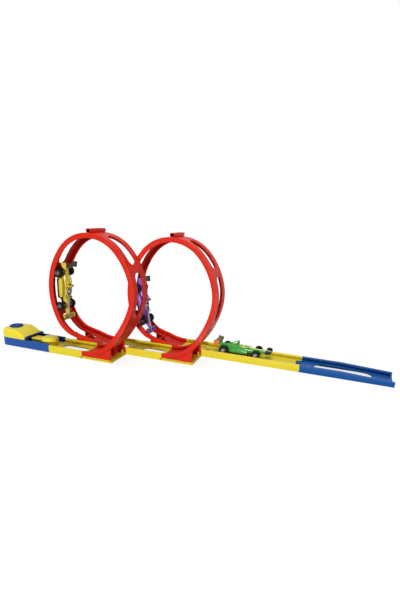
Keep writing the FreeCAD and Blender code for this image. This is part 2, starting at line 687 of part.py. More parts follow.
def striker():
    """The yellow striker: a grooved neck in the slideway and a rounded pushing head."""
    low = DECK + STRIKER_BOTTOM
    neck = box(STRIKER_REAR, HEAD_X, -STRIKER_NECK_HALF, STRIKER_NECK_HALF, low, STRIKER_TOP)
    notch_x = PIVOT_X + LEVER_FRONT + STRIKER_TRAVEL
    neck = neck.cut(box(notch_x - 2.6, notch_x + 0.4, -STRIKER_NECK_HALF - 1,
                        STRIKER_NECK_HALF + 1, STRIKER_TOP - 1.6, STRIKER_TOP + 1))
    head_low = DECK + RUNNING_GAP
    head = Part.makeCylinder(STRIKER_HEAD_RADIUS, STRIKER_HEAD_TOP - head_low,
                             Vector(HEAD_X, 0, head_low))
    crown = [e for e in head.Edges if e.BoundBox.ZMin > STRIKER_HEAD_TOP - 0.01]
    head = head.makeFillet(4.5, crown)
    body = fuse_all([neck, head])
    bore = rod(ROD_RADIUS + PIN_FIT, Vector(STRIKER_REAR - 1, 0, ROD_Z),
               Vector(LAUNCHER_BACK + ROD_REACH + STRIKER_TRAVEL + 2, 0, ROD_Z))
    return body.cut(bore)


def guide_rod():
    """The steel rod inside the striker's spring."""
    return rod(ROD_RADIUS, Vector(REAR_WALL - 0.5, 0, ROD_Z),
               Vector(LAUNCHER_BACK + ROD_REACH, 0, ROD_Z))


def striker_spring():
    """The launching spring, loose at rest and squeezed when the striker is drawn back."""
    start = REAR_WALL + 2.1
    length = STRIKER_REAR - 0.1 - start
    return coil(Vector(start, 0, ROD_Z), ALONG, length, SPRING_RADIUS - SPRING_WIRE / 2,
                SPRING_WIRE, SPRING_TURNS)


def hood_screws():
    """Four screws that hold the hood on the tray, from below."""
    screws = []
    for x, y in boss_places():
        shank = Part.makeCylinder(SCREW_RADIUS, 7, Vector(x, y, PLATE - 0.5))
        head = Part.makeCylinder(SCREW_HEAD_RADIUS, SCREW_HEAD, Vector(x, y, PLATE - SCREW_HEAD))
        drive = box(x - 1.4, x + 1.4, y - 0.3, y + 0.3, PLATE - SCREW_HEAD - 1,
                    PLATE - SCREW_HEAD + 0.6)
        cross = box(x - 0.3, x + 0.3, y - 1.4, y + 1.4, PLATE - SCREW_HEAD - 1,
                    PLATE - SCREW_HEAD + 0.6)
        screws.append(fuse_all([shank, head]).cut(drive).cut(cross))
    return Part.makeCompound(screws)


# ---------------------------------------------------------------- cars
REAR_AXLE = Vector(-CAR_WHEELBASE / 2, 0, REAR_WHEEL_RADIUS)
FRONT_AXLE = Vector(CAR_WHEELBASE / 2, 0, FRONT_WHEEL_RADIUS)
CAR_TAIL = -CAR_WHEELBASE / 2 - CAR_REAR_OVERHANG
CAR_NOSE = CAR_TAIL + CAR_LENGTH


def hull_wire(x, half, low, high, round_share=0.45):
    """An upright rounded section of the body, at x."""
    reach = min(half, (high - low) / 2) * round_share * 2
    reach = min(reach, half * 0.9, (high - low) * 0.45)
    corner = [(half - reach, low), (half, low + reach), (half, high - reach),
              (half - reach, high), (-half + reach, high), (-half, high - reach),
              (-half, low + reach), (-half + reach, low)]
    points = [Vector(x, y, z) for y, z in corner]
    return Part.makePolygon(points + points[:1])


def lofted_hull(sections):
    """A smooth body through upright sections (x, half width, bottom, top)."""
    wires = [hull_wire(*section) for section in sections]
    return Part.makeLoft(wires, True, False)


def axle_bores():
    """Cutters for both axles, with their running fit."""
    bores = []
    for place in (REAR_AXLE, FRONT_AXLE):
        bores.append(rod(AXLE_RADIUS + AXLE_FIT, place - ACROSS * HALF, place + ACROSS * HALF))
    return bores


def curve_rise(x):
    """How far the floor of a loop's side lies above the wheels' level, at x of the car."""
    return (x ** 2 - (CAR_WHEELBASE / 2) ** 2) / (2 * (SIDE_RADIUS - FLOOR))


def car_body():
    """The painted body: raised nose, open cockpit, side pods, engine cover, roll hoop."""
    base = CAR_WHEELBASE / 2
    low = CAR_BELLY
    nose = curve_rise(CAR_NOSE) + NOSE_CLEARANCE + 1.0
    fuselage = lofted_hull(((-1.38 * base, 3.4, low + 3.4, low + 8.6),
                            (-1.05 * base, 5.0, low + 1.0, low + 10.2),
                            (-0.57 * base, 6.6, low, low + 12.6),
                            (-0.10 * base, 7.0, low, low + 11.4),
                            (0.43 * base, 6.0, low, low + 9.8),
                            (0.95 * base, 4.2, low + 0.2, low + 8.2),
                            (CAR_NOSE - 9.0, 3.0, nose - 2.4, nose + 2.2),
                            (CAR_NOSE - 1.5, 1.8, nose, nose + 1.8)))
    pods = []
    for side in (-1, 1):
        pod = lofted_hull(((-0.66 * base, 2.4, low + 0.4, low + 6.0),
                           (-0.29 * base, 3.6, low + 0.2, low + 7.4),
                           (0.19 * base, 3.6, low + 0.2, low + 6.8),
                           (0.48 * base, 2.4, low + 0.6, low + 4.8)))
        pods.append(moved(pod, Vector(0, side * 9.0, 0)))
    hoop = Part.makeTorus(5.2, 1.1, Vector(-0.29 * base, 0, low + 11.0), ALONG)
    cockpit = lofted_hull(((-0.18 * base, 3.4, low + 6.0, 30.0),
                           (0.10 * base, 4.2, low + 5.4, 30.0),
                           (0.46 * base, 2.6, low + 6.2, 30.0)))
    body = fuse_all([fuselage, pods[0], pods[1]]).cut(cockpit)
    body = body.fuse(hoop).removeSplitter()
    driver = Part.makeSphere(2.4, Vector(-0.04 * base, 0, low + 8.2))
    body = body.fuse(driver).removeSplitter()
    for bore in axle_bores():
        body = body.cut(bore)
    return body


def car_chassis():
    """The underbody plate, narrow at the tail and nose and wide between the wheels."""
    base = CAR_WHEELBASE / 2
    outline = ((-1.28 * base, 6.8), (-0.72 * base, 7.4), (-0.62 * base, 12.4),
               (0.46 * base, 12.4), (0.66 * base, 5.6), (1.2 * base, 3.0))
    low = CAR_BELLY - CAR_PLATE_GAP - CAR_PLATE
    points = [Vector(x, y, low) for x, y in outline]
    points += [Vector(x, -y, low) for x, y in reversed(outline)]
    return Part.Face(Part.makePolygon(points + points[:1])).extrude(Vector(0, 0, CAR_PLATE))


def rear_wing():
    """The rear wing: two cambered planes, two end plates and a pair of struts."""
    x = CAR_TAIL
    plane = side_prism(((x + 0.3, 20.4), (x + 3.8, 19.4), (x + 8.8, 19.1), (x + 8.8, 20.1),
                        (x + 4.2, 20.5), (x + 0.9, 21.6)), -13.6, 13.6)
    lower = side_prism(((x + 2.0, 15.4), (x + 8.4, 14.6), (x + 8.4, 15.5), (x + 2.2, 16.4)),
                       -13.6, 13.6)
    shapes = [plane, lower]
    for side in (-1, 1):
        y0, y1 = sorted((side * 13.2, side * 14.6))
        shapes.append(side_prism(((x, 12.2), (x + 7.0, 13.6), (x + 10.0, 18.2),
                                  (x + 10.0, 21.0), (x, 22.2)), y0, y1))
        y0, y1 = sorted((side * 1.4, side * 2.8))
        shapes.append(side_prism(((x + 7.6, 10.4), (x + 12.6, 10.4), (x + 8.2, 19.7),
                                  (x + 4.4, 19.7)), y0, y1))
    return fuse_all(shapes).cut(car_body())


def front_wing():
    """The front wing: a raised plane through the nose with upright end plates."""
    low = curve_rise(CAR_NOSE) + NOSE_CLEARANCE
    x = CAR_NOSE
    plane = side_prism(((x - 9.4, low + 0.5), (x - 0.7, low + 0.5), (x, low + 1.2),
                        (x - 1.2, low + 1.9), (x - 9.4, low + 1.9)), -12.0, 12.0)
    shapes = [plane]
    for side in (-1, 1):
        y0, y1 = sorted((side * 11.0, side * 12.2))
        shapes.append(side_prism(((x - 9.2, low), (x - 0.5, low + 0.5),
                                  (x - 1.9, low + 4.0), (x - 8.0, low + 4.4)), y0, y1))
    return fuse_all(shapes).cut(car_body())


def wheel(radius, width, side, place):
    """One tyre with rounded shoulders on a dished hub."""
    body = Part.makeCylinder(radius, width, Vector(0, -width / 2, 0), ACROSS)
    body = body.makeFillet(TYRE_ROUND, [e for e in body.Edges if len(e.Vertexes) == 1])
    dish = Part.makeCone(HUB_RADIUS, HUB_RADIUS - 0.7, 0.9,
                         Vector(0, side * (width / 2 + 0.01), 0), ACROSS * -side)
    body = body.cut(dish)
    nut = Part.makeCylinder(AXLE_RADIUS + 0.7, 0.9, Vector(0, side * (width / 2 - 0.9), 0),
                            ACROSS * side)
    body = body.fuse(nut).removeSplitter()
    body = body.cut(rod(AXLE_RADIUS, ACROSS * -width, ACROSS * width))
    return moved(body, place + ACROSS * side * (CAR_HALF_TRACK - width / 2))


def wheel_pair(radius, width, place):
    """The left and the right wheel of one axle."""
    return Part.makeCompound([wheel(radius, width, side, place) for side in (-1, 1)])


def axle(place):
    """A plain steel axle between the outer faces of its wheels."""
    reach = CAR_HALF_TRACK - 0.3
    return rod(AXLE_RADIUS, place - ACROSS * reach, place + ACROSS * reach)


def car_places():
    """Where the three cars stand: on the run-out, and on the left side of each loop."""
    ride = Vector(0, 0, DECK + CAR_RIDE)
    green = Placement(Vector(GREEN_CAR_X, LAST_LANE_Y, 0) + ride, Rotation())
    return {
        "green_car": green,
        "yellow_car": loop_place(Vector(0, 0, 0), YELLOW_CAR_ANGLE, 0.0),
        "purple_car": loop_place(SECOND_LOOP, PURPLE_CAR_ANGLE, PURPLE_CAR_SIDE),
    }


def loop_place(loop, angle, side):
    """A car's place on the falling side arc, a given angle below nine o'clock."""
    floor_radius = SIDE_RADIUS - FLOOR
    half_base = CAR_WHEELBASE / 2
    hub_radius = floor_radius - REAR_WHEEL_RADIUS - CAR_RIDE
    ride_radius = math.sqrt(hub_radius ** 2 - half_base ** 2) + REAR_WHEEL_RADIUS
    turn = math.radians(angle)
    centre = Vector(SIDE_OFFSET, LOOP_PLANE + side, LOOP_CENTRE_Z) + loop
    spot = centre + Vector(-math.cos(turn), 0, -math.sin(turn)) * ride_radius
    return Placement(spot, Rotation(ACROSS, 90 - angle))


def save_cars():
    """Write every piece of the three cars."""
    pieces = {
        "body": car_body(),
        "chassis": car_chassis(),
        "rear_wing": rear_wing(),
        "front_wing": front_wing(),
        "rear_axle": axle(REAR_AXLE),
        "front_axle": axle(FRONT_AXLE),
        "rear_wheels": wheel_pair(REAR_WHEEL_RADIUS, REAR_WHEEL_WIDTH, REAR_AXLE),
        "front_wheels": wheel_pair(FRONT_WHEEL_RADIUS, FRONT_WHEEL_WIDTH, FRONT_AXLE),
    }
    for car, place in car_places().items():
        for piece, shape in pieces.items():
            save(car + "_" + piece, moved(shape, place))


# ---------------------------------------------------------------- the whole set
def save_loop(number, place):
    """Write one loop's three pieces."""
    save("loop_%d_rising_half" % number, moved(rising_half(), place))
    save("loop_%d_falling_half" % number, moved(falling_half(), place))
    save("loop_%d_clip" % number, moved(loop_clip(), place))


def main():
    """Build every sub-part and write it to its own file."""
    os.makedirs("parts", exist_ok=True)
    save("launcher_base", launcher_base())
    save("launcher_hood", launcher_hood())
    save("mouth_frame", mouth_frame())
    save("launch_button", launch_button())
    save("sear_lever", sear_lever())
    save("sear_pin", sear_pin())
    save("sear_spring", sear_spring())
    save("striker", striker())
    save("guide_rod", guide_rod())
    save("striker_spring", striker_spring())
    save("hood_screws", hood_screws())
    save("loop_base_1", loop_base(START_LANE))
    save("loop_base_2", moved(loop_base(LINK_LANE), SECOND_LOOP))
    save_loop(1, Vector(0, 0, 0))
    save_loop(2, SECOND_LOOP)
    save("run_out_track", run_out_track())
    save("exit_ramp", exit_ramp())
    save_cars()


main()
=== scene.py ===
"""Dressing of a toy car loop track: its mouldings, its launcher and its racing cars.

Lengths are in millimetres, apart from those of the camera, the floor and the shaders.
"""
import logging
import math
from dataclasses import dataclass
from enum import Enum
from typing import Sequence

import bmesh
import bpy
import numpy as np
from mathutils import Matrix, Vector


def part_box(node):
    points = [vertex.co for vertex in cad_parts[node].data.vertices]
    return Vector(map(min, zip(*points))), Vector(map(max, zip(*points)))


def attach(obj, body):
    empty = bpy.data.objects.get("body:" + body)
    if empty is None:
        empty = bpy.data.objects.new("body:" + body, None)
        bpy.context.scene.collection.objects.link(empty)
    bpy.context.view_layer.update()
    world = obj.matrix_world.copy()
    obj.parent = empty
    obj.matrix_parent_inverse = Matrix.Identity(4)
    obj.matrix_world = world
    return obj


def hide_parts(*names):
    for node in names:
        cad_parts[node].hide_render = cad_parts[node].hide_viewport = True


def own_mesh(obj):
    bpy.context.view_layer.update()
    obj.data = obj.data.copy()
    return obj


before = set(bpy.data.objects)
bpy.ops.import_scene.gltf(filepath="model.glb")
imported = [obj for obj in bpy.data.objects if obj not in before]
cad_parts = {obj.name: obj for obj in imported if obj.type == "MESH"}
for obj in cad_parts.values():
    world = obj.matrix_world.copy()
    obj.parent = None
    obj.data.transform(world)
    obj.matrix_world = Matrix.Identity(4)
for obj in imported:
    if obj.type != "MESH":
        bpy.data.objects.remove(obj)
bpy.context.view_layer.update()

MM = 0.001
SHARP = 38.0  # edges that turn by more degrees than this stay sharp
LOG = logging.getLogger("loop_track")
Grid = np.ndarray
Pair = tuple[float, float]
Triple = tuple[float, float, float]
Row = Sequence[float]
Socket = bpy.types.NodeSocket


# ---- shader nodes
def feed(node: bpy.types.Node, values: dict[str | int, object]) -> bpy.types.Node:
    """Fill a node's inputs.

    Args:
        node: the node.
        values: by an input's name or number, a socket to link or a plain value.

    Returns:
        The same node.
    """
    for key, value in values.items():
        if isinstance(value, Socket):
            node.id_data.links.new(value, node.inputs[key])
        else:
            node.inputs[key].default_value = value
    return node


class GroupMaker:
    """Builds one shader node group that gives a colour, a roughness and a normal."""

    def __init__(self, name: str, takes: dict[str, float | Row]) -> None:
        """Start a group with an input called Place.

        Args:
            name: the group's name.
            takes: each other input's name and the number or colour that it holds.
        """
        self.tree = bpy.data.node_groups.new(name, "ShaderNodeTree")
        self.taken = self.tree.nodes.new("NodeGroupInput").outputs
        self.exit = self.tree.nodes.new("NodeGroupOutput")
        self.socket("Place", "INPUT", "Vector")
        for key, value in takes.items():
            kind = "Color" if isinstance(value, tuple) else "Float"
            self.socket(key, "INPUT", kind).default_value = value
        for key, kind in (("Colour", "Color"), ("Roughness", "Float"), ("Normal", "Vector")):
            self.socket(key, "OUTPUT", kind)

    def socket(self, name: str, way: str, kind: str) -> bpy.types.NodeTreeInterfaceSocket:
        """Add a socket of that name, way (INPUT or OUTPUT) and kind to the group."""
        return self.tree.interface.new_socket(name, in_out=way, socket_type="NodeSocket" + kind)

    def node(self, kind: str, values: dict[str | int, object], **settings: object) -> bpy.types.Node:
        """Add a node.

        Args:
            kind: Blender's name for the node, without its start ShaderNode.
            values: what its inputs take.
            settings: attributes to set on it.

        Returns:
            The new node.
        """
        made = self.tree.nodes.new("ShaderNode" + kind)
        for key, value in settings.items():
            setattr(made, key, value)
        return feed(made, values)

    def ramp(self, source: Socket, low: float, high: float) -> Socket:
        """Socket of a value stretched, so that low..high becomes 0..1."""
        ends = {"Value": source, "From Min": low, "From Max": high}
        return self.node("MapRange", ends, clamp=True).outputs["Result"]

    def blend(self, share: Socket, first: object, second: object) -> Socket:
        """Socket of two colours mixed by the share of the second."""
        colours = {"Factor": share, 6: first, 7: second}
        return self.node("Mix", colours, data_type="RGBA").outputs[2]

    def maths(self, kind: str, first: object, second: object) -> Socket:
        """Socket of an operation on two values, such as MULTIPLY."""
        return self.node("Math", {0: first, 1: second}, operation=kind).outputs["Value"]

    def noise(self, where: Socket, scale: float, detail: float = 2.0, rough: float = 0.5) -> Socket:
        """Socket of cloudy noise: clouds per metre, and the finer clouds' layers and strength."""
        values = {"Vector": where, "Scale": scale, "Detail": detail, "Roughness": rough}
        return self.node("TexNoise", values).outputs["Fac"]

    def drawn_out(self, share: float) -> Socket:
        """The place with x shrunk to a share, which draws noise out along X."""
        values = {"Vector": self.taken["Place"], "Scale": (share, 1.0, 1.0)}
        return self.node("Mapping", values).outputs["Vector"]

    def finish(self, colour: Socket, rough: Socket, height: Socket, strength: float,
               distance: float) -> bpy.types.ShaderNodeTree:
        """Wire the outputs.

        Args:
            colour: the colour's socket.
            rough: the roughness's socket.
            height: socket of the height that bumps the normal.
            strength: the bump's strength.
            distance: the height that 1 stands for, in metres.

        Returns:
            The group's tree.
        """
        bump = self.node("Bump", {"Height": height, "Strength": strength, "Distance": distance})
        feed(self.exit, {"Colour": colour, "Roughness": rough, "Normal": bump.outputs["Normal"]})
        return self.tree


def moulded_skin() -> bpy.types.ShaderNodeTree:
    """Injection-moulded plastic: flow clouds, fine grain, scuffs and a slight waviness.

    Returns:
        The group.
    """
    g = GroupMaker("moulded_skin", {
        "Base": (0.8, 0.8, 0.8, 1.0), "Deep": (0.6, 0.6, 0.6, 1.0),
        "Scuff Colour": (0.9, 0.9, 0.9, 1.0), "Clouding": 0.5, "Scuffing": 0.2,
        "Roughness": 0.35, "Grain": 0.1})
    place = g.taken["Place"]
    flow = g.ramp(g.noise(place, scale=28.0, detail=3.0), 0.38, 0.66)
    clouds = g.maths("MULTIPLY", flow, g.taken["Clouding"])
    rub = g.ramp(g.noise(g.drawn_out(0.16), scale=900.0, rough=0.7), 0.63, 0.74)
    patch = g.ramp(g.noise(place, scale=45.0, detail=1.0), 0.45, 0.7)
    scuff = g.maths("MULTIPLY", g.maths("MULTIPLY", rub, patch), g.taken["Scuffing"])
    colour = g.blend(scuff, g.blend(clouds, g.taken["Base"], g.taken["Deep"]), g.taken["Scuff Colour"])
    spread = g.maths("MULTIPLY", g.maths("SUBTRACT", g.noise(place, scale=120.0), 0.5), 0.22)
    rough = g.maths("ADD", g.maths("ADD", g.taken["Roughness"], spread), g.maths("MULTIPLY", scuff, 0.35))
    grain = g.maths("MULTIPLY", g.noise(place, scale=2600.0), g.taken["Grain"])
    wave = g.maths("MULTIPLY", g.noise(place, scale=55.0, detail=1.0), 0.9)
    return g.finish(colour, rough, g.maths("ADD", grain, wave), 0.5, 0.00012)


def brushed_skin() -> bpy.types.ShaderNodeTree:
    """Drawn or turned metal: fine streaks along X and a few dull patches.

    Returns:
        The group.
    """
    g = GroupMaker("brushed_skin", {"Base": (0.7, 0.7, 0.72, 1.0), "Roughness": 0.3})
    streak = g.noise(g.drawn_out(0.08), scale=3200.0, rough=0.6)
    patch = g.maths("SUBTRACT", g.noise(g.taken["Place"], scale=160.0), 0.5)
    colour = g.blend(g.ramp(streak, 0.2, 0.9), (0.42, 0.42, 0.44, 1.0), g.taken["Base"])
    rough = g.maths("ADD", g.taken["Roughness"], g.maths("MULTIPLY", patch, 0.3))
    return g.finish(colour, rough, streak, 0.35, 0.00005)


class Skin(Enum):
    """The shared surface effects."""

    MOULDED = "moulded_skin"
    BRUSHED = "brushed_skin"

    def tree(self) -> bpy.types.ShaderNodeTree:
        """The shared group of this effect, built the first time it is asked for."""
        maker = {Skin.MOULDED: moulded_skin, Skin.BRUSHED: brushed_skin}[self]
        return bpy.data.node_groups.get(self.value) or maker()


# ---- finishes
def tint(colour: Row, factor: float = 1.0) -> tuple[float, float, float, float]:
    """A colour with full alpha, darker for a factor below 1 and lighter above it."""
    return tuple(min(1.0, c * factor) for c in colour) + (1.0,)


@dataclass(frozen=True)
class Finish:
    """A surface finish: a shader with the moulded or the brushed effect on it."""

    name: str
    colour: Triple
    slot: str
    skin: Skin = Skin.MOULDED
    roughness: float = 0.32
    clouding: float = 0.35
    scuffing: float = 0.25
    grain: float = 0.25
    deep: float = 0.86
    coat: float = 0.0
    coat_roughness: float = 0.12
    metallic: float = 0.0
    specular: float = 0.22

    def material(self) -> bpy.types.Material:
        """Material of this finish, built the first time it is asked for."""
        return bpy.data.materials.get(self.name + "_finish") or self.build()

    def build(self) -> bpy.types.Material:
        """Put the shared effect in front of a Principled shader.

        Returns:
            The new material.
        """
        made = bpy.data.materials.new(self.name + "_finish")
        made.use_nodes = True
        nodes = made.node_tree.nodes
        group = nodes.new("ShaderNodeGroup")
        group.node_tree = self.skin.tree()
        place = nodes.new("ShaderNodeTexCoord").outputs["Object"]
        feed(group, {"Place": place, "Base": tint(self.colour), "Roughness": self.roughness})
        if self.skin is Skin.MOULDED:
            scuffed = [0.5 * c + 0.42 for c in self.colour]
            feed(group, {"Deep": tint(self.colour, self.deep), "Scuff Colour": tint(scuffed),
                         "Clouding": self.clouding, "Scuffing": self.scuffing,
                         "Grain": self.grain})
        feed(nodes["Principled BSDF"], {
            "Base Color": group.outputs["Colour"], "Roughness": group.outputs["Roughness"],
            "Normal": group.outputs["Normal"], "Metallic": self.metallic,
            "Coat Weight": self.coat, "Coat Roughness": self.coat_roughness,
            "Specular IOR Level": self.specular})
        made.diffuse_color = tint(self.colour)
        return made


# ---- surfaces
def shrink(outline: Grid, step: float) -> Grid:
    """Move a closed outline inwards by a step, each corner along its mitre.

    Args:
        outline: points (n, 2), anticlockwise.
        step: distance between the old and the new edges.

    Returns:
        The new points.
    """
    if step <= 1e-9:
        return outline
    ahead = np.roll(outline, -1, 0) - outline
    ahead /= np.maximum(np.linalg.norm(ahead, axis=1, keepdims=True), 1e-9)
    behind = np.roll(ahead, 1, 0)
    inward = np.stack([-ahead[:, 1] - behind[:, 1], ahead[:, 0] + behind[:, 0]], 1)
    inward /= np.maximum(np.linalg.norm(inward, axis=1, keepdims=True), 1e-9)
    normal = np.stack([-ahead[:, 1], ahead[:, 0]], 1)
    lean = np.maximum((inward * normal).sum(1, keepdims=True), 0.5)
    return outline + inward * step / lean


def rectangle(low: Row, high: Row) -> list[Pair]:
    """Corners of the rectangle between two points, anticlockwise from the lowest."""
    return [(low[0], low[1]), (high[0], low[1]), (high[0], high[1]), (low[0], high[1])]


def raised(flat: Grid, level: Grid | float) -> Grid:
    """Points (n, 3) that stand over points (n, 2) of a plan, at one height or at one each."""
    return np.concatenate([flat, np.broadcast_to(level, (len(flat),))[:, None]], 1)


def rounded_outline(corners: Sequence[Row], radius: float | Row, steps: int = 4) -> Grid:
    """Round the corners of a closed outline with arcs through quadratic curves.

    Args:
        corners: points (n, 2), anticlockwise.
        radius: how far each arc reaches along its edges, one for all or one each.
        steps: points on each arc.

    Returns:
        The points of the rounded outline.
    """
    corners = np.asarray(corners, float)
    reach = np.broadcast_to(np.asarray(radius, float), (len(corners),))
    share = np.linspace(0.0, 1.0, steps)[:, None]
    made = []
    for index, corner in enumerate(corners):
        ends = []
        for other in (corners[index - 1], corners[(index + 1) % len(corners)]):
            length = np.linalg.norm(other - corner)
            ends.append(corner + (other - corner) / length * min(reach[index], length / 2))
        made.append((1 - share) ** 2 * ends[0] + 2 * share * (1 - share) * corner + share ** 2 * ends[1])
    points = np.concatenate(made)
    apart = np.linalg.norm(points - np.roll(points, 1, 0), axis=1) > 1e-4
    return points[apart]


def smooth_table(table: Sequence[Row], count: int) -> Grid:
    """Carry a smooth curve through rows of numbers, each span a cubic between its ends.

    Args:
        table: rows whose first number rises from row to row.
        count: rows wanted.

    Returns:
        The rows (count, columns), evenly spaced in the first number.
    """
    rows = np.array(table, float)
    x = rows[:, 0]
    slope = np.gradient(rows, x, axis=0)
    at = np.linspace(x[0], x[-1], count)
    span = np.clip(np.searchsorted(x, at, side="right") - 1, 0, len(x) - 2)
    width = (x[span + 1] - x[span])[:, None]
    t = (at - x[span])[:, None] / width
    made = (2 * t ** 3 - 3 * t ** 2 + 1) * rows[span] \
        + (t ** 3 - 2 * t ** 2 + t) * width * slope[span] \
        + (3 * t ** 2 - 2 * t ** 3) * rows[span + 1] \
        + (t ** 3 - t ** 2) * width * slope[span + 1]
    made[:, 0] = at
    return made


def rounded_loft(table: Sequence[Row], count: int, sides: int, power: float) -> Grid:
    """Sweep a superellipse along X: |y/half|^power + |z/half height|^power = 1.

    Args:
        table: rows of x, half width, bottom, top.
        count: sections along X.
        sides: points round each section.
        power: 2 is an ellipse and more is squarer.

    Returns:
        Points (count, sides, 3).
    """
    rows = smooth_table(table, count)
    turn = np.linspace(0.0, 2 * math.pi, sides, endpoint=False)
    wide, tall = (np.sign(wave) * np.abs(wave) ** (2 / power) for wave in (np.cos(turn), np.sin(turn)))
    x, half, low, high = (rows[:, k:k + 1] for k in range(4))
    return np.stack(np.broadcast_arrays(x, half * wide, (low + high) / 2
                                        + (high - low) / 2 * tall), axis=-1)


class Shell:
    """Points and faces of closed surfaces, gathered in millimetres for one piece."""

    def __init__(self) -> None:
        """Start with no points."""
        self.points: list[Grid] = []
        self.faces: list[list[int]] = []
        self.count = 0

    def sheet(self, grid: Grid, along: bool = False, caps: bool = True) -> "Shell":
        """Add a surface given on a grid whose last column joins the first.

        Each face joins four neighbours of the grid, (i, j), (i, j+1), (i+1, j+1), (i+1, j).

        Args:
            grid: points by row and column, shape (rows, columns, 3).
            along: the last row joins the first.
            caps: the first and the last row are each filled with one flat face.

        Returns:
            This shell.
        """
        rows, columns = grid.shape[:2]
        row = np.arange(rows if along else rows - 1)[:, None]
        column = np.arange(columns)[None, :]
        next_row, next_column = (row + 1) % rows, (column + 1) % columns
        corners = np.stack([row * columns + column, row * columns + next_column,
                            next_row * columns + next_column, next_row * columns + column],
                           axis=-1).reshape(-1, 4) + self.count
        self.faces += corners.tolist()
        if caps and not along:
            first = np.arange(columns) + self.count
            self.faces += [first[::-1].tolist(), (first + (rows - 1) * columns).tolist()]
        self.points.append(grid.reshape(-1, 3))
        self.count += rows * columns
        return self

    def slab(self, outline: Grid, low: float, high: float, plane: str = "XZ", edge: float = 0.3) -> "Shell":
        """Add a flat plate of any outline with softened rims.

        The outline steps in by the edge radius at both rims, along a quarter circle.

        Args:
            outline: points (n, 2) of the closed outline, anticlockwise.
            low: where it starts across the plane.
            high: where it ends.
            plane: axes of the outline, such as XZ.
            edge: radius of the rims.

        Returns:
            This shell.
        """
        edge = min(edge, 0.45 * (high - low))
        turn = np.linspace(0.0, math.pi / 2, 4)
        inset = edge * (1.0 - np.sin(turn))
        rise = edge * (1.0 - np.cos(turn))
        first, second = ("XYZ".index(axis) for axis in plane)
        rings = []
        for step, level in [*zip(inset, low + rise), *zip(inset[::-1], high - rise[::-1])]:
            ring = np.full((len(outline), 3), level)
            ring[:, [first, second]] = shrink(outline, step)
            rings.append(ring)
        return self.sheet(np.stack(rings))

    def plate(self, corners: Sequence[Pair], radius: float | Row, low: float,
              high: float, edge: float = 0.3, steps: int = 4, plane: str = "XZ") -> "Shell":
        """Add a slab after rounding its corners, with one reach of arc for all or one each."""
        return self.slab(rounded_outline(corners, radius, steps), low, high, plane, edge)

    def block(self, low: Row, high: Row, edge: float = 0.3) -> "Shell":
        """Add a block between two corners, its edges softened to a radius."""
        return self.plate(rectangle(low, high), edge, low[2], high[2], edge, plane="XY")

    def tube(self, line: Grid, radius: float | Grid, sides: int, loop: bool = False) -> "Shell":
        """Add a tube, a circle square to the line at each of its points.

        Args:
            line: centre points (n, 3).
            radius: one radius, or one for each point.
            sides: points round it.
            loop: the last point joins the first.

        Returns:
            This shell.
        """
        way = np.roll(line, -1, 0) - np.roll(line, 1, 0) if loop else np.gradient(line, axis=0)
        way /= np.linalg.norm(way, axis=1, keepdims=True)
        sideways = abs(way[:, 1]).max() < 0.95
        side = np.cross(way, (0.0, 1.0, 0.0) if sideways else (0.0, 0.0, 1.0))
        side /= np.linalg.norm(side, axis=1, keepdims=True)
        up = np.cross(side, way)
        turn = np.linspace(0.0, 2 * math.pi, sides, endpoint=False)[:, None]
        ring = side[:, None] * np.cos(turn) + up[:, None] * np.sin(turn)
        reach = np.asarray(radius, float).reshape(-1, 1, 1)
        return self.sheet(line[:, None] + ring * reach, along=loop, caps=not loop)

    def bar(self, start: Row, end: Row, radius: float, sides: int) -> "Shell":
        """Add a round bar, a circle carried along a straight line with eased ends.

        Args:
            start: centre of one end.
            end: centre of the other end.
            radius: the bar's radius.
            sides: points round it.

        Returns:
            This shell.
        """
        a, b = np.array(start, float), np.array(end, float)
        ease = (b - a) / np.linalg.norm(b - a) * radius * 0.3
        return self.tube(np.stack([a, a + ease, b - ease, b]),
                         radius * np.array([0.8, 1.0, 1.0, 0.8]), sides)

    def lathe(self, profile: Sequence[Pair] | Grid, centre: Row, axis: str,
              sides: int, closed: bool = False) -> "Shell":
        """Add a turned form, its profile swung round an axis.

        Args:
            profile: points (n, 2): distance along the axis and radius.
            centre: a point of the axis.
            axis: X, Y or Z.
            sides: points round it.
            closed: the profile's last point joins its first, as in a tyre.

        Returns:
            This shell.
        """
        profile = np.asarray(profile, float)
        turn = np.linspace(0.0, 2 * math.pi, sides, endpoint=False)
        along = "XYZ".index(axis)
        grid = np.zeros((len(profile), sides, 3))
        grid[:, :, along] = profile[:, :1]
        grid[:, :, (along + 1) % 3] = profile[:, 1:] * np.cos(turn)
        grid[:, :, (along + 2) % 3] = profile[:, 1:] * np.sin(turn)
        return self.sheet(grid + np.array(centre, float), along=closed, caps=not closed)

    def coil(self, start: Row, axis: str, length: float, radius: float,
             wire: float, turns: float) -> "Shell":
        """Add a compression spring, a circle of wire carried along a helix.

        The helix turns evenly, and its first and last turns lie close, as closed ends do.

        Args:
            start: middle of its first end.
            axis: X, Y or Z.
            length: from end to end.
            radius: from the axis to the wire's middle.
            wire: the wire's diameter.
            turns: number of turns.

        Returns:
            This shell.
        """
        step = np.linspace(0.0, turns, int(turns * 22) + 1)
        run = wire / 2 + np.interp(step, (0.0, 1.0, turns - 1.0, turns),
                                   (0.0, wire, length - 2 * wire, length - wire))
        along = "XYZ".index(axis)
        way = np.eye(3)[along]
        radial = np.zeros((len(step), 3))
        radial[:, (along + 1) % 3] = np.cos(2 * math.pi * step)
        radial[:, (along + 2) % 3] = np.sin(2 * math.pi * step)
        line = np.array(start, float) + run[:, None] * way + radius * radial
        turn = np.linspace(0.0, 2 * math.pi, 8, endpoint=False)[:, None]
        ring = wire / 2 * (np.cos(turn) * radial[:, None] + np.sin(turn) * way)
        return self.sheet(line[:, None] + ring)

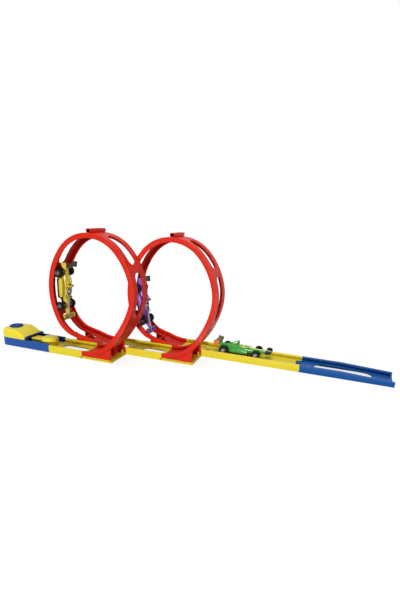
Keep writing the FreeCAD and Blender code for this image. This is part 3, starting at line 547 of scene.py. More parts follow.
    def add(self, other: "Shell") -> "Shell":
        """Take in another shell's surfaces.

        Args:
            other: the shell to copy in.

        Returns:
            This shell.
        """
        self.faces += [[index + self.count for index in face] for face in other.faces]
        self.points += other.points
        self.count += other.count
        return self


def make_piece(name: str, shell: Shell, finish: Finish, stands_for: Sequence[str],
               body: str = "track") -> bpy.types.Object:
    """Turn a shell into an object that rides on a body, smooth but for its sharp edges.

    Args:
        name: the piece's name.
        shell: its surfaces in millimetres.
        finish: its finish.
        stands_for: CAD nodes that it takes the place of.
        body: the body that it moves with.

    Returns:
        The object.
    """
    mesh = bpy.data.meshes.new(name)
    mesh.from_pydata((np.concatenate(shell.points) * MM).tolist(), [], shell.faces)
    work = bmesh.new()
    work.from_mesh(mesh)
    bmesh.ops.remove_doubles(work, verts=work.verts, dist=2e-6)
    bmesh.ops.recalc_face_normals(work, faces=work.faces)
    for face in work.faces:
        face.smooth = True
    work.to_mesh(mesh)
    work.free()
    mesh.set_sharp_from_angle(angle=math.radians(SHARP))
    made = bpy.data.objects.new(name, mesh)
    bpy.context.scene.collection.objects.link(made)
    made.data.materials.append(finish.material())
    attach(made, body)
    if stands_for:
        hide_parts(*stands_for)
    LOG.info("%s: %d faces on %s", name, len(mesh.polygons), body)
    return made


def repaint(node: str, finish: Finish) -> None:
    """Give a CAD node a finish.

    Args:
        node: the node's name.
        finish: its finish.
    """
    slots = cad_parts[node].data.materials
    slots.clear()
    slots.append(finish.material())


def corners_of(node: str) -> tuple[Grid, Grid]:
    """Lowest and highest corner of a CAD node, in millimetres."""
    low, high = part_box(node)
    return np.array(low) / MM, np.array(high) / MM


# ---- lanes and loops
@dataclass(kw_only=True)
class Moulding:
    """Sizes that the mouldings of the track share.

    A floor is as wide as the space between the rails, and reaches into each by the root.
    """

    half: float = 20.0
    wall: float = 1.8
    root: float = 0.2
    under: float = 4.0
    floor: float = 2.0
    lap: float = 4.0
    seam: float = 0.15
    pitch: float = 42.0
    plate: float = 4.0

    @property
    def inner(self) -> float:
        """Half of a floor's width."""
        return self.half - self.wall + self.root


class Path:
    """A way that a lane follows: length along it, sideways place and height give a point."""

    def place(self, run: Grid, side: Grid, high: Grid) -> Grid:
        """Points in the frame, in millimetres.

        Args:
            run: length along the way.
            side: sideways place from the lane's middle.
            high: height above the underside of the running floor.

        Returns:
            Points with one more axis of size 3.
        """
        raise NotImplementedError


@dataclass(frozen=True)
class LevelPath(Path):
    """A straight level lane along X: x = start + run, y = middle + side, z = under + high."""

    start: float
    middle: float
    under: float = Moulding.under

    def place(self, run: Grid, side: Grid, high: Grid) -> Grid:
        """Points of the straight lane."""
        run, side, high = np.broadcast_arrays(run, side, high)
        return np.stack([self.start + run, self.middle + side, self.under + high], axis=-1)


@dataclass(frozen=True)
class RampPath(Path):
    """The exit ramp: level, then every height falls in a straight line to the lip.

    The four heights are those of the foot, the floor's two faces and the rail's top.
    """

    start: float
    middle: float
    level: float
    length: float
    heights: Row = (-4.0, 0.0, 2.0, 7.5)
    at_level: Row = (0.0, 4.0, 6.0, 11.5)
    at_lip: Row = (0.0, 1.0, 1.8, 7.9)
    hollow: float = 1.3
    lip_radius: float = 40.0
    lip: float = 6.0

    def place(self, run: Grid, side: Grid, high: Grid) -> Grid:
        """Points of the ramp, whose last end curves in by a circle of the lip radius.

        Args:
            run: length along the ramp.
            side: sideways place from its middle.
            high: one of the four heights, or between two.

        Returns:
            Points with one more axis of size 3.
        """
        run, side, high = np.broadcast_arrays(run, side, high)
        share = np.clip((run - self.level) / (self.length - self.level), 0.0, 1.0)
        z = np.interp(high, self.heights, self.at_level) * (1 - share) \
            + np.interp(high, self.heights, self.at_lip) * share
        dip = self.hollow - (self.lip_radius - np.sqrt(self.lip_radius ** 2 - side ** 2))
        near = np.clip((run - self.length + self.lip) / self.lip, 0.0, 1.0)
        x = self.start + run - np.maximum(dip, 0.0) * near
        return np.stack([x, self.middle + side, z], axis=-1)


@dataclass(frozen=True)
class LoopPath(Path):
    """The loop's band: tight arcs below and above, wide arcs at the sides, and two shifts.

    The angle round the loop comes from the length by the arcs' radii. Its point lies on the
    arc there, high towards the arc's centre. The first shift brings the band to the plane
    and the second to the pitch, each by half a cosine wave.
    """

    base: Pair
    half_width: float = 72.0
    half_height: float = 88.0
    end_share: float = 0.861
    floor_z: float = Moulding.under
    plane: float = 21.0
    pitch: float = Moulding.pitch
    rise: Pair = (50.0, 100.0)
    fall: Pair = (298.0, 340.0)

    @property
    def end_radius(self) -> float:
        """Radius of the tight arcs."""
        return self.half_width * self.end_share

    @property
    def side_offset(self) -> float:
        """How far the wide arcs' centres lie beyond the middle."""
        tall, wide = self.half_height - self.end_radius, self.half_width - self.end_radius
        return (tall ** 2 - wide ** 2) / (2 * wide)

    @property
    def side_radius(self) -> float:
        """Radius of the wide arcs."""
        return self.half_width + self.side_offset

    @property
    def change(self) -> float:
        """Angle at which a tight arc becomes a wide one."""
        return math.degrees(math.atan2(self.side_offset, self.half_height - self.end_radius))

    @property
    def top(self) -> float:
        """Height of the band's outside at its top."""
        return self.floor_z + 2 * self.half_height

    def run_at(self, angle: Grid | float) -> Grid:
        """Length along the band's outside.

        Args:
            angle: degrees from the bottom.

        Returns:
            The length in millimetres.
        """
        marks = np.array([0.0, self.change, 180 - self.change, 180 + self.change, 360 - self.change, 360.0])
        end, side = self.end_radius, self.side_radius
        arcs = np.radians(np.diff(marks)) * (end, side, end, side, end)
        return np.interp(angle, marks, np.concatenate([[0.0], np.cumsum(arcs)]))

    def angle_at(self, run: Grid) -> Grid:
        """Angle from the bottom at a length, which stays at 0 or 360 past the ends."""
        angles = np.linspace(0.0, 360.0, 1441)
        return np.interp(run, self.run_at(angles), angles)

    def place(self, run: Grid, side: Grid, high: Grid) -> Grid:
        """Points of the band, which runs on level past both of its ends.

        Args:
            run: length along the band's outside.
            side: sideways place from its middle.
            high: height above its outside, towards the arc's centre.

        Returns:
            Points with one more axis of size 3.
        """
        run, side, high = np.broadcast_arrays(run, side, high)
        turn = self.angle_at(run)
        bottom = (turn < self.change) | (turn > 360 - self.change)
        top = np.abs(turn - 180) < self.change
        sign = np.where(turn < 180, 1.0, -1.0)
        end = self.half_height - self.end_radius
        level = self.floor_z + self.half_height
        cx = np.where(bottom | top, 0.0, -sign * self.side_offset)
        cz = np.where(bottom, level - end, np.where(top, level + end, level))
        radius = np.where(bottom | top, self.end_radius, self.side_radius) - high
        angle = np.radians(turn)
        over = run - np.clip(run, 0.0, float(self.run_at(360.0)))
        shift = self.plane * self.ease(turn, self.rise) \
            + (self.pitch - self.plane) * self.ease(turn, self.fall)
        return np.stack([self.base[0] + cx + radius * np.sin(angle) + over,
                         self.base[1] + shift + side, cz - radius * np.cos(angle)], axis=-1)

    @staticmethod
    def ease(turn: Grid, limits: Pair) -> Grid:
        """Half a cosine wave from 0 to 1 between two angles."""
        share = np.clip((turn - limits[0]) / (limits[1] - limits[0]), 0.0, 1.0)
        return 0.5 - 0.5 * np.cos(math.pi * share)


@dataclass
class Lane(Moulding):
    """A channel along a path: two rails and a floor with long windows.

    The rings of a window are each given by a share of the way from the opening to the
    floor's edge, a step outwards and a depth below the floor's face.
    """

    path: Path
    start: float
    end: float
    windows: Sequence[Pair] = ()
    rail_top: float = 7.5
    wall_low: float = -4.0
    window_half: float = 7.0
    margin: float = 2.5
    step: float = 2.4
    rail_edges: Row = (0.3, 0.3, 0.5, 0.5)
    floor_end: float | None = None
    least_floor: float = 0.05
    bearing: Row = (90.0, 72.0, 65.5, 55.0, 44.0, 33.0, 22.0, 11.0)
    rings: tuple[Triple, ...] = ((1.0, 0.0, 0.0), (0.6, 0.0, 0.0), (0.25, 0.0, 0.0),
                                 (0.0, 0.5, 0.0), (0.0, 0.15, 0.15), (0.0, 0.0, 0.5))

    def stations(self, low: float, high: float) -> Grid:
        """Evenly spaced lengths between two lengths."""
        return np.linspace(low, high, max(2, int(math.ceil((high - low) / self.step)) + 1))

    def rails(self) -> Shell:
        """Both rails: a tall rectangle with quarter-round corners, carried along the path.

        Returns:
            Their surfaces.
        """
        made = Shell()
        run = self.stations(self.start, self.end)[:, None]
        for sign in (-1.0, 1.0):
            inner, outer = sorted((sign * (self.half - self.wall), sign * self.half))
            profile = rounded_outline(rectangle((inner, self.wall_low),
                                                (outer, self.rail_top)), self.rail_edges)
            made.sheet(self.path.place(run, profile[None, :, 0], profile[None, :, 1]))
        return made

    def window_rim(self) -> tuple[Grid, Grid]:
        """Directions round a window, by quarters, and how far each meets the floor's edge.

        Returns:
            Unit directions (n, 2) of the right half, from +side to -side, and reaches (n,).
        """
        quarter = np.radians(np.array(self.bearing))
        turn = np.concatenate([quarter, [0.0], -quarter[::-1]])
        way = np.stack([np.cos(turn), np.sin(turn)], axis=1)
        along = (self.window_half + self.margin) / np.maximum(way[:, 0], 1e-9)
        across = self.inner / np.maximum(np.abs(way[:, 1]), 1e-9)
        return way, np.minimum(along, across)

    def window(self, low: float, high: float) -> Grid:
        """The floor round one window, as rings from the floor's edge through the opening.

        The opening is two half circles joined by straight sides. Each ring keeps their
        bearings and grows from the opening to a rectangle, above the floor and below it.

        Args:
            low: where its first half circle is centred.
            high: where its last half circle is centred.

        Returns:
            Points (rings, columns, 3).
        """
        way, reach = self.window_rim()
        straight = self.stations(low, high)[1:-1]
        flat = np.ones(len(straight))
        across = np.stack([0 * flat, flat], 1)
        run = np.concatenate([straight, np.full(len(way), high), straight[::-1], np.full(len(way), low)])
        ways = np.concatenate([across, way, -across, -way])
        far = np.concatenate([flat * self.inner, reach] * 2)
        rings = [(share, step, self.floor - depth) for share, step, depth in self.rings]
        made = []
        for share, step, level in rings + list(self.rings[::-1]):
            near = self.window_half + step
            distance = near + share * (far - near)
            made.append(self.path.place(run + ways[:, 0] * distance, ways[:, 1] * distance, level))
        return np.stack(made)

    def plain_floor(self, low: float, high: float) -> Grid:
        """A stretch of floor with no window: a flat band carried along the path.

        Its columns meet those of a window's edge.

        Args:
            low: length where it starts.
            high: length where it ends.

        Returns:
            Points (stations, columns, 3).
        """
        way, reach = self.window_rim()
        on_edge = np.abs(way[:, 0] * reach - self.window_half - self.margin) < 1e-6
        side = np.concatenate([[self.inner], (way[:, 1] * reach)[on_edge], [-self.inner]])
        loop = np.concatenate([side, side[::-1]])
        level = np.repeat([self.floor, 0.0], len(side))
        return self.path.place(self.stations(low, high)[:, None], loop[None], level[None])

    def floors(self) -> Shell:
        """The running floor with all of its windows.

        Returns:
            Its surfaces.
        """
        made = Shell()
        reach = self.window_half + self.margin
        at = self.start
        end = self.end if self.floor_end is None else self.floor_end
        for low, high in self.windows:
            if low - reach > at + self.least_floor:
                made.sheet(self.plain_floor(at, low - reach))
            made.sheet(self.window(low, high), along=True, caps=False)
            at = high + reach
        if end > at + self.least_floor:
            made.sheet(self.plain_floor(at, end))
        return made

    def shell(self) -> Shell:
        """Rails and floor."""
        return self.rails().add(self.floors())


@dataclass
class TongueJoint(Moulding):
    """The snap joint of two lanes: a pair of rounded tongues in a matching recess."""

    x: float
    middle: float
    length: float = 8.0
    width: float = 12.0
    slit: float = 2.2
    gap: float = 0.2
    corner: float = 4.0
    collar: float = 4.0
    rooted: float = 0.4
    square: float = 0.01
    cut_share: float = 0.3
    nib: tuple[Pair, ...] = ((1.0, 1.2), (0.4, 0.2))

    @property
    def recess_start(self) -> float:
        """Where the lane before the joint ends its plain floor."""
        return self.x - self.length - self.gap - self.seam - self.collar

    def tongues(self) -> Shell:
        """The two tongues, flat plates with two round corners, reaching back from x.

        Returns:
            Their surfaces.
        """
        made = Shell()
        ahead, back = self.x + self.rooted, self.x - self.length
        for sign in (-1.0, 1.0):
            mid = self.middle + sign * (self.slit + self.width) / 2
            low, high = mid - self.width / 2, mid + self.width / 2
            made.plate([(ahead, low), (ahead, high), (back, high), (back, low)],
                       (self.square, self.square, self.corner, self.corner), self.under,
                       self.under + self.floor, 0.25, 7, "XY")
        return made

    def recess(self) -> Shell:
        """The floor round the recess: a plate whose free edge follows the tongues.

        Returns:
            Its surfaces.
        """
        end = self.x - self.seam
        deep = end - self.length - self.gap
        slit = self.slit / 2
        wide = slit + self.width + self.gap
        arc, cut = self.corner, self.corner * self.cut_share
        free = np.array([(end, self.inner), (end, wide), (deep + arc, wide),
                         (deep + cut, wide - cut), (deep, wide - arc), (deep, slit + arc)]
                        + [(deep + run, slit + side) for run, side in self.nib])
        start = [(self.recess_start, -self.inner), (self.recess_start, self.inner)]
        outline = np.concatenate([free, free[::-1] * (1, -1), start]) + (0.0, self.middle)
        return Shell().slab(outline[::-1], self.under, self.under + self.floor, "XY", 0.2)


# ---- the yellow track
TRACK_YELLOW = Finish("track_yellow", (0.83, 0.67, 0.030), "track_yellow", roughness=0.36, clouding=0.2)
LOOP_RED = Finish("loop_red", (0.72, 0.025, 0.010), "loop_red", roughness=0.4, deep=0.8, specular=0.11)
RAMP_BLUE = Finish("ramp_blue", (0.002, 0.084, 0.33), "ramp_blue", roughness=0.34, specular=0.18)


@dataclass
class LoopBase(Moulding):
    """A yellow moulding: the lane in, the plates under both feet and the landing lane.

    The solid floors are the lengths of lane before and after each window.
    """

    number: int
    x: float
    y: float
    lane_in: float
    landing: float = 48.0
    reach: float = 45.0
    solid_in: Pair = (12.0, 4.0)
    solid_out: Pair = (9.0, 14.0)
    skin_low: float = 2.0
    rib_top: float = 3.2
    rib_inset: Pair = (0.3, 0.5)
    peg: float = 3.0
    peg_low: float = 3.0
    peg_height: float = 5.0
    peg_places: tuple[Pair, ...] = ((41.0, -16.5), (41.0, 16.5), (-41.0, 25.7), (-41.0, 42.3))

    def shell(self) -> Shell:
        """All surfaces of the moulding.

        Returns:
            Them in one shell.
        """
        turn = Lane.window_half
        start, end = -self.lap - self.lane_in, -self.lap - self.seam
        window = (start + self.solid_in[0] + turn, -self.lap - self.solid_in[1] - turn)
        made = Lane(LevelPath(self.x, self.y), start, end, [window]).shell()
        made.add(TongueJoint(self.x + start, self.y).tongues())
        start, end = self.lap + self.seam, self.lap + self.landing
        window = (self.lap + self.solid_out[0] + turn, end - self.solid_out[1] - turn)
        joint = TongueJoint(self.x + end + self.seam, self.y + self.pitch)
        lane = Lane(LevelPath(self.x, self.y + self.pitch), start, end, [window],
                    floor_end=joint.recess_start - self.x)
        made.add(lane.shell()).add(joint.recess())
        return made.add(self.plates()).add(self.pegs())

    def plates(self) -> Shell:
        """The low plates: a skin on a skirt with crossed ribs, as softened blocks.

        Returns:
            Their surfaces.
        """
        under = self.lap + self.seam + self.wall
        w, (near, deep) = self.wall, self.rib_inset
        made = Shell()
        for x0, x1, y in ((-under, self.reach, 0.0), (-self.reach, under, self.pitch)):
            low = np.array([self.x + x0, self.y + y - self.half, 0.0])
            high = np.array([self.x + x1, self.y + y + self.half, self.plate])
            made.block(low + (0.0, 0.0, self.skin_low), high, edge=0.4)
            mid = (low + high) / 2 - w / 2
            for a, b in (((low[0], low[1]), (high[0], low[1] + w)),
                         ((low[0], high[1] - w), (high[0], high[1])),
                         ((low[0], low[1] + near), (low[0] + w, high[1] - near)),
                         ((high[0] - w, low[1] + near), (high[0], high[1] - near)),
                         ((low[0] + deep, mid[1]), (high[0] - deep, mid[1] + w)),
                         ((mid[0], low[1] + deep), (mid[0] + w, high[1] - deep))):
                made.block((*a, 0.0), (*b, self.rib_top))
        return made.block((self.x - self.reach, self.y + self.half - w, 0.0),
                          (self.x + self.reach, self.y + self.pitch - self.half + w,
                           self.plate))

    def pegs(self) -> Shell:
        """The square pegs that place each foot, with eased tops.

        Returns:
            Their surfaces.
        """
        made = Shell()
        top = self.plate + self.peg_height
        for place in self.peg_places:
            low = np.array(place) + (self.x, self.y) - self.peg / 2
            made.block((*low, self.peg_low), (*(low + self.peg), top), edge=0.6)
        return made

    def build(self) -> None:
        """Make the piece and dress it."""
        make_piece("track_base_%d" % self.number, self.shell(), TRACK_YELLOW,
                   ["loop_base_%d" % self.number])


@dataclass
class RunOut(Moulding):
    """The plain yellow track after the second loop."""

    length: float = 144.0
    ribs: Row = (40.0, 80.0, 120.0)
    rib_half: float = 18.5
    rib_low: float = 1.0
    rib_top: float = 4.3

    def build(self) -> None:
        """Make the piece and dress it."""
        low, high = corners_of("run_out_track")
        middle, end = (low[1] + high[1]) / 2, high[0]
        start = end - self.length
        joint = TongueJoint(end + self.seam, middle)
        lane = Lane(LevelPath(start, middle), 0.0, self.length,
                    floor_end=joint.recess_start - start, step=12.0)
        made = lane.shell().add(joint.recess()).add(TongueJoint(start, middle).tongues())
        for x in self.ribs:
            made.block((start + x, middle - self.rib_half, self.rib_low),
                       (start + x + self.wall, middle + self.rib_half, self.rib_top),
                       edge=0.2)
        make_piece("run_out_lane", made, TRACK_YELLOW, ["run_out_track"])


@dataclass
class ExitRamp(Moulding):
    """The blue ramp at the end, which falls to a low, slightly hollowed lip."""

    length: float = 131.0
    level: float = 58.0
    window_half: float = 10.0
    solid: Pair = (20.0, 29.0)
    lip_face: float = 0.6
    foot: float = -4.0
    columns: int = 17

    def build(self) -> None:
        """Make the piece and dress it."""
        low, high = corners_of("exit_ramp")
        middle = (low[1] + high[1]) / 2
        start = high[0] - self.length
        way = RampPath(start, middle, self.level, self.length)
        turn = self.window_half
        window = (self.solid[0] + turn, self.length - self.solid[1] - turn)
        lane = Lane(way, 0.0, self.length, [window], step=2.0, window_half=turn)
        made = lane.shell().add(TongueJoint(start, middle).tongues())
        run = np.array([self.length - self.wall, self.length])[:, None]
        side = np.linspace(-self.inner, self.inner, self.columns)
        loop = np.concatenate([side, side[::-1]])
        level = np.repeat([self.lip_face, self.foot], self.columns)
        made.sheet(way.place(run, loop[None], level[None]))
        make_piece("exit_ramp_blue", made, RAMP_BLUE, ["exit_ramp"])


# ---- the red loops
@dataclass
class RedLoop(Moulding):
    """One loop: two banded halves on hollow feet, joined by flanges and a clip on top.

    Each window is given by its first and last angle from the bottom.
    """

    number: int
    base: Pair
    rib: float = 1.5
    reach: float = 44.0
    inset: float = 0.2
    foot_clear: float = 1.0
    foot_step: float = 1.5
    web_back: float = 6.0
    rib_back: float = 12.0
    rib_inset: float = 0.5
    far_wall: float = 2.0
    flange: float = 2.0
    flange_height: float = 4.0
    flange_sunk: float = 1.0
    flange_half: float = 19.0
    clip_gap: float = 0.1
    clip_wall: float = 1.5
    clip_low: float = 0.6
    clip_edges: Row = (0.2, 0.2, 0.2, 0.2, 0.2, 0.2, 0.7, 0.7)
    rise_windows: tuple[Pair, ...] = ((79.0, 106.0), (123.0, 152.0))
    fall_windows: tuple[Pair, ...] = ((208.0, 243.0), (256.0, 284.0), (298.0, 331.0))
    rise_window_half: float = 9.0
    fall_window_half: float = 7.5

    @property
    def path(self) -> LoopPath:
        """The way that the band follows."""
        return LoopPath(self.base)

    def strand(self, start: float, end: float, windows: Sequence[Pair], window_half: float) -> Shell:
        """Floor and rails of one half, with a window between each pair of angles."""
        places = [(self.path.run_at(a), self.path.run_at(b)) for a, b in windows]
        return Lane(self.path, start, end, places, wall_low=0.0, step=2.0, window_half=window_half).shell()

    def foot_wall(self, x0: float, x1: float, y0: float, y1: float) -> Shell:
        """A foot's wall: level below, and following the band's circle above.

        Args:
            x0: lowest x from the loop's middle.
            x1: highest x.
            y0: lowest y from the first lane's middle.
            y1: highest y.

        Returns:
            Its surfaces.
        """
        path = self.path
        centre = path.floor_z + path.end_radius
        radius = path.end_radius - self.foot_clear
        x = np.linspace(x1, x0, max(2, int((x1 - x0) / self.foot_step) + 2))
        arc = np.stack([x, centre - np.sqrt(radius ** 2 - x ** 2)], 1)
        outline = np.concatenate([[(x0, self.plate), (x1, self.plate)], arc])
        outline[:, 0] += self.base[0]
        return Shell().slab(outline, self.base[1] + y0, self.base[1] + y1, edge=0.35)

    def rising_foot(self) -> Shell:
        """The foot under the rising strand: two panels, a middle web and a rib.

        Returns:
            Its surfaces.
        """
        made = Shell()
        rib, side = self.reach - self.rib_back, self.half - self.rib_inset
        for x0, x1, y0, y1 in (
                (self.lap, self.reach, -self.half, self.wall - self.half),
                (self.lap, self.reach, self.half - self.wall, self.half),
                (self.lap, self.reach - self.web_back, -self.rib / 2, self.rib / 2),
                (rib, rib + self.rib, -side, side)):
            made.add(self.foot_wall(x0, x1, y0, y1))
        return made

    def falling_foot(self) -> Shell:
        """The foot under the falling strand: two long walls, a short far wall and a rib.

        Returns:
            Its surfaces.
        """
        made = Shell()
        front, back = self.pitch - self.half + self.inset, self.pitch + self.far_wall
        far, rib = self.pitch + self.half, self.rib_back - self.reach
        for x0, x1, y0, y1 in (
                (-self.reach, -self.lap, front, front + self.wall),
                (-self.reach, -self.lap, back, back + self.wall),
                (-self.reach / 2, -self.lap, far - self.wall, far),
                (rib - self.rib, rib, front + self.rib_inset, back + self.rib_inset)):
            made.add(self.foot_wall(x0, x1, y0, y1))
        return made

    def top_flange(self, side: float) -> Shell:
        """The upright flange at the top.

        Args:
            side: 1 on the +X half and -1 on the -X half.

        Returns:
            Its surfaces.
        """
        near, far = sorted((side * self.seam / 2, side * (self.seam / 2 + self.flange)))
        middle, top = self.base[1] + self.path.plane, self.path.top
        return Shell().block(
            (self.base[0] + near, middle - self.flange_half, top - self.flange_sunk),
            (self.base[0] + far, middle + self.flange_half, top + self.flange_height))

    def clip(self) -> Shell:
        """The clip over both flanges: a channel with eased upper edges.

        Returns:
            Its surfaces.
        """
        inner = self.seam / 2 + self.flange + self.clip_gap
        outer = inner + self.clip_wall
        foot = self.path.top + self.clip_low
        cap = self.path.top + self.flange_height + self.clip_gap
        roof = cap + self.clip_wall
        corners = np.array([(-outer, foot), (-inner, foot), (-inner, cap), (inner, cap),
                            (inner, foot), (outer, foot), (outer, roof), (-outer, roof)])
        low = self.base[1] + self.path.plane - self.flange_half
        return Shell().plate(corners + (self.base[0], 0.0), self.clip_edges, low,
                             low + 2 * self.flange_half, 0.4)

    def build(self) -> None:
        """Make the three pieces and dress them."""
        path = self.path
        seam = math.degrees(self.seam / 2 / path.end_radius)
        name = "loop_%d_" % self.number
        rise = self.strand(-self.lap, path.run_at(180 - seam), self.rise_windows, self.rise_window_half)
        rise.add(self.rising_foot()).add(self.top_flange(1.0))
        make_piece(name + "rise", rise, LOOP_RED, [name + "rising_half"])
        fall = self.strand(path.run_at(180 + seam),
                           path.run_at(360.0) + self.lap, self.fall_windows,
                           self.fall_window_half)
        fall.add(self.falling_foot()).add(self.top_flange(-1.0))
        make_piece(name + "fall", fall, LOOP_RED, [name + "falling_half"])
        make_piece(name + "top_clip", self.clip(), LOOP_RED, [name + "clip"])


# ---- the launcher
LAUNCHER_BLUE = Finish("launcher_blue", (0.014, 0.085, 0.36), "launcher_blue", roughness=0.33)
LAUNCHER_YELLOW = Finish("launcher_yellow", (0.90, 0.74, 0.040), "launcher_yellow", roughness=0.34)
MOUTH_NAVY = Finish("mouth_navy", (0.012, 0.030, 0.16), "mouth_navy", roughness=0.4)
BUTTON_BLUE = Finish("button_blue", (0.006, 0.040, 0.22), "button_blue", roughness=0.55,
                     scuffing=0.12, specular=0.06)
LEVER_WHITE = Finish("lever_white", (0.82, 0.82, 0.80), "lever_white", roughness=0.45)
STEEL = Finish("steel", (0.72, 0.73, 0.75), "steel", Skin.BRUSHED, roughness=0.28,
               metallic=1.0, specular=0.5)
SPRING_STEEL = Finish("spring_steel", (0.62, 0.63, 0.66), "spring_steel", Skin.BRUSHED,
                      roughness=0.32, metallic=1.0, specular=0.5)


@dataclass
class Launcher(Moulding):
    """The push-button launcher: blue tray, yellow hood, button, mouth frame and striker.

    A name that ends in start is measured from the launcher's back, and one that ends in
    end from its front or from the hood's. Each spring has its radius, wire and turns.
    """

    corner: float = 12.0
    height: float = 13.0
    deck: float = 6.0
    sunk: float = 0.5
    gap: float = 0.3
    guide_start: float = 27.0
    guide_end: float = 1.0
    guide_height: float = 4.5
    stop_half: float = 3.0
    stop_depth: float = 2.0
    sill_top: float = 3.6
    sill_inset: float = 0.3
    hood_length: float = 46.0
    hood_top: float = 26.0
    hood_flat: float = 27.0
    hood_wall: float = 1.6
    hood_lip: float = 16.0
    hood_round: float = 4.2
    knee_soft: float = 1.6
    hole_edge: float = 0.4
    column: float = 2.6
    column_bore: float = 1.3
    column_side: float = 14.8
    column_end: float = 4.6
    mouth_half: float = 13.0
    mouth_leg: float = 18.1
    mouth_roof: float = 14.4
    mouth_top: float = 17.6
    mouth_shoulder: float = 18.0
    mouth_thick: float = 2.0
    mouth_edges: Row = (0.2, 0.2, 0.2, 0.3, 1.2, 1.2, 0.3, 0.2, 0.2, 0.2, 0.8, 0.8)
    button_inset: float = 14.0
    button_radius: float = 9.5
    button_proud: float = 2.0
    button_edge: float = 1.1
    dish: tuple[Pair, ...] = ((0.02, 7.4), (0.14, 6.6), (0.16, 3.0), (0.16, 0.05))
    flange_radius: float = 10.7
    flange_drop: float = 0.4
    flange_thick: float = 1.2
    flange_cut: float = 2.4
    stem: float = 2.0
    stem_back: float = 2.5
    stem_low: float = 20.0
    neck_start: float = 26.0
    neck_low: float = 1.0
    neck_half: float = 7.0
    neck_top: float = 13.5
    neck_cap: float = 1.5
    latch_start: float = 30.0
    notch: Pair = (2.6, 0.4)
    bore: float = 1.9
    bore_floor: float = 1.3
    bore_lap: float = 0.1
    head_radius: float = 12.5
    head_end: float = 1.0
    head_edge: float = 13.3
    head_top: float = 18.3
    head_foot: tuple[Pair, ...] = ((0.0, 0.9), (0.3, 0.25), (1.0, 0.0))
    dome_powers: Pair = (0.9, 0.62)
    draw: float = 15.0
    press_rise: float = 1.75
    striker_spring: Triple = (3.0, 0.8, 7.0)
    latch_spring: Triple = (1.0, 0.45, 4.0)

    def __post_init__(self) -> None:
        """Read the launcher's two ends from the frame."""
        low, high = corners_of("launcher_base")
        self.back, self.front = float(low[0]), float(high[0])
        self.hood_front = self.back + self.hood_length
        self.button_x = self.back + self.button_inset

    def plan(self, inset: float, front: float) -> Grid:
        """The tray's plan as an open line, from one front end round the back to the other.

        Args:
            inset: how far inside the outer wall it runs.
            front: x of its two ends.

        Returns:
            Points (n, 2).
        """
        turn = np.linspace(-math.pi / 2, -math.pi, 10)
        radius = self.corner - inset
        arc = np.stack([self.back + self.corner + radius * np.cos(turn),
                        -self.half + self.corner + radius * np.sin(turn)], 1)
        line = np.linspace(front, self.back + self.corner + 1.0, 8)
        near = np.concatenate([np.stack([line, np.full(8, inset - self.half)], 1), arc])
        return np.concatenate([near, near[::-1] * (1, -1)])

    def tray(self) -> Shell:
        """The blue tray: a wall carried round the plan, a floor and guide ribs.

        Returns:
            Its surfaces.
        """
        profile = rounded_outline(rectangle((0.0, 0.0), (self.wall, self.height)), (0.3, 0.3, 0.55, 0.55))
        rows = np.stack([self.plan(inset, self.front) for inset in profile[:, 0]], 1)
        levels = np.broadcast_to(profile[:, 1], rows.shape[:2])
        made = Shell().sheet(np.concatenate([rows, levels[..., None]], -1))
        joint = TongueJoint(self.front + self.seam, 0.0)
        made.slab(self.plan(self.wall - self.root, joint.recess_start), self.under, self.deck, "XY", 0.1)
        made.add(joint.recess())
        guide, low = self.neck_half + self.gap, self.deck - self.sunk
        for y in (-guide - self.wall, guide):
            made.block((self.back + self.guide_start, y, low),
                       (self.hood_front - self.guide_end, y + self.wall,
                        self.deck + self.guide_height), 0.4)
        back, side = self.back + self.wall, self.half - self.sill_inset
        made.block((back - self.sunk, -self.stop_half, low),
                   (back + self.stop_depth, self.stop_half, self.height))
        made.block((self.front - self.wall, -side, 0.0), (self.front - 0.01, side, self.sill_top), 0.2)
        return made

    def crown(self, x: Grid | float) -> Grid:
        """Height of the hood's outside: flat, then falling, with a softened knee.

        Args:
            x: places along X.

        Returns:
            The height at each.
        """
        slope = (self.hood_top - self.hood_lip) / (self.hood_length - self.hood_flat)
        past, soft = x - self.back - self.hood_flat, self.knee_soft
        bend = np.where(past > soft, past, np.where(past < -soft, 0.0, (past + soft) ** 2 / (4 * soft)))
        return self.hood_top - slope * bend

    def hood_plan(self, inset: float) -> Grid:
        """The hood's closed plan.

        Args:
            inset: how far inside the outer wall it runs.

        Returns:
            Points (n, 2).
        """
        front = self.hood_front - inset
        lid = np.linspace(inset - self.half, self.half - inset, 14)[-2:0:-1]
        return np.concatenate([self.plan(inset, front), np.stack([np.full(len(lid), front), lid], 1)])

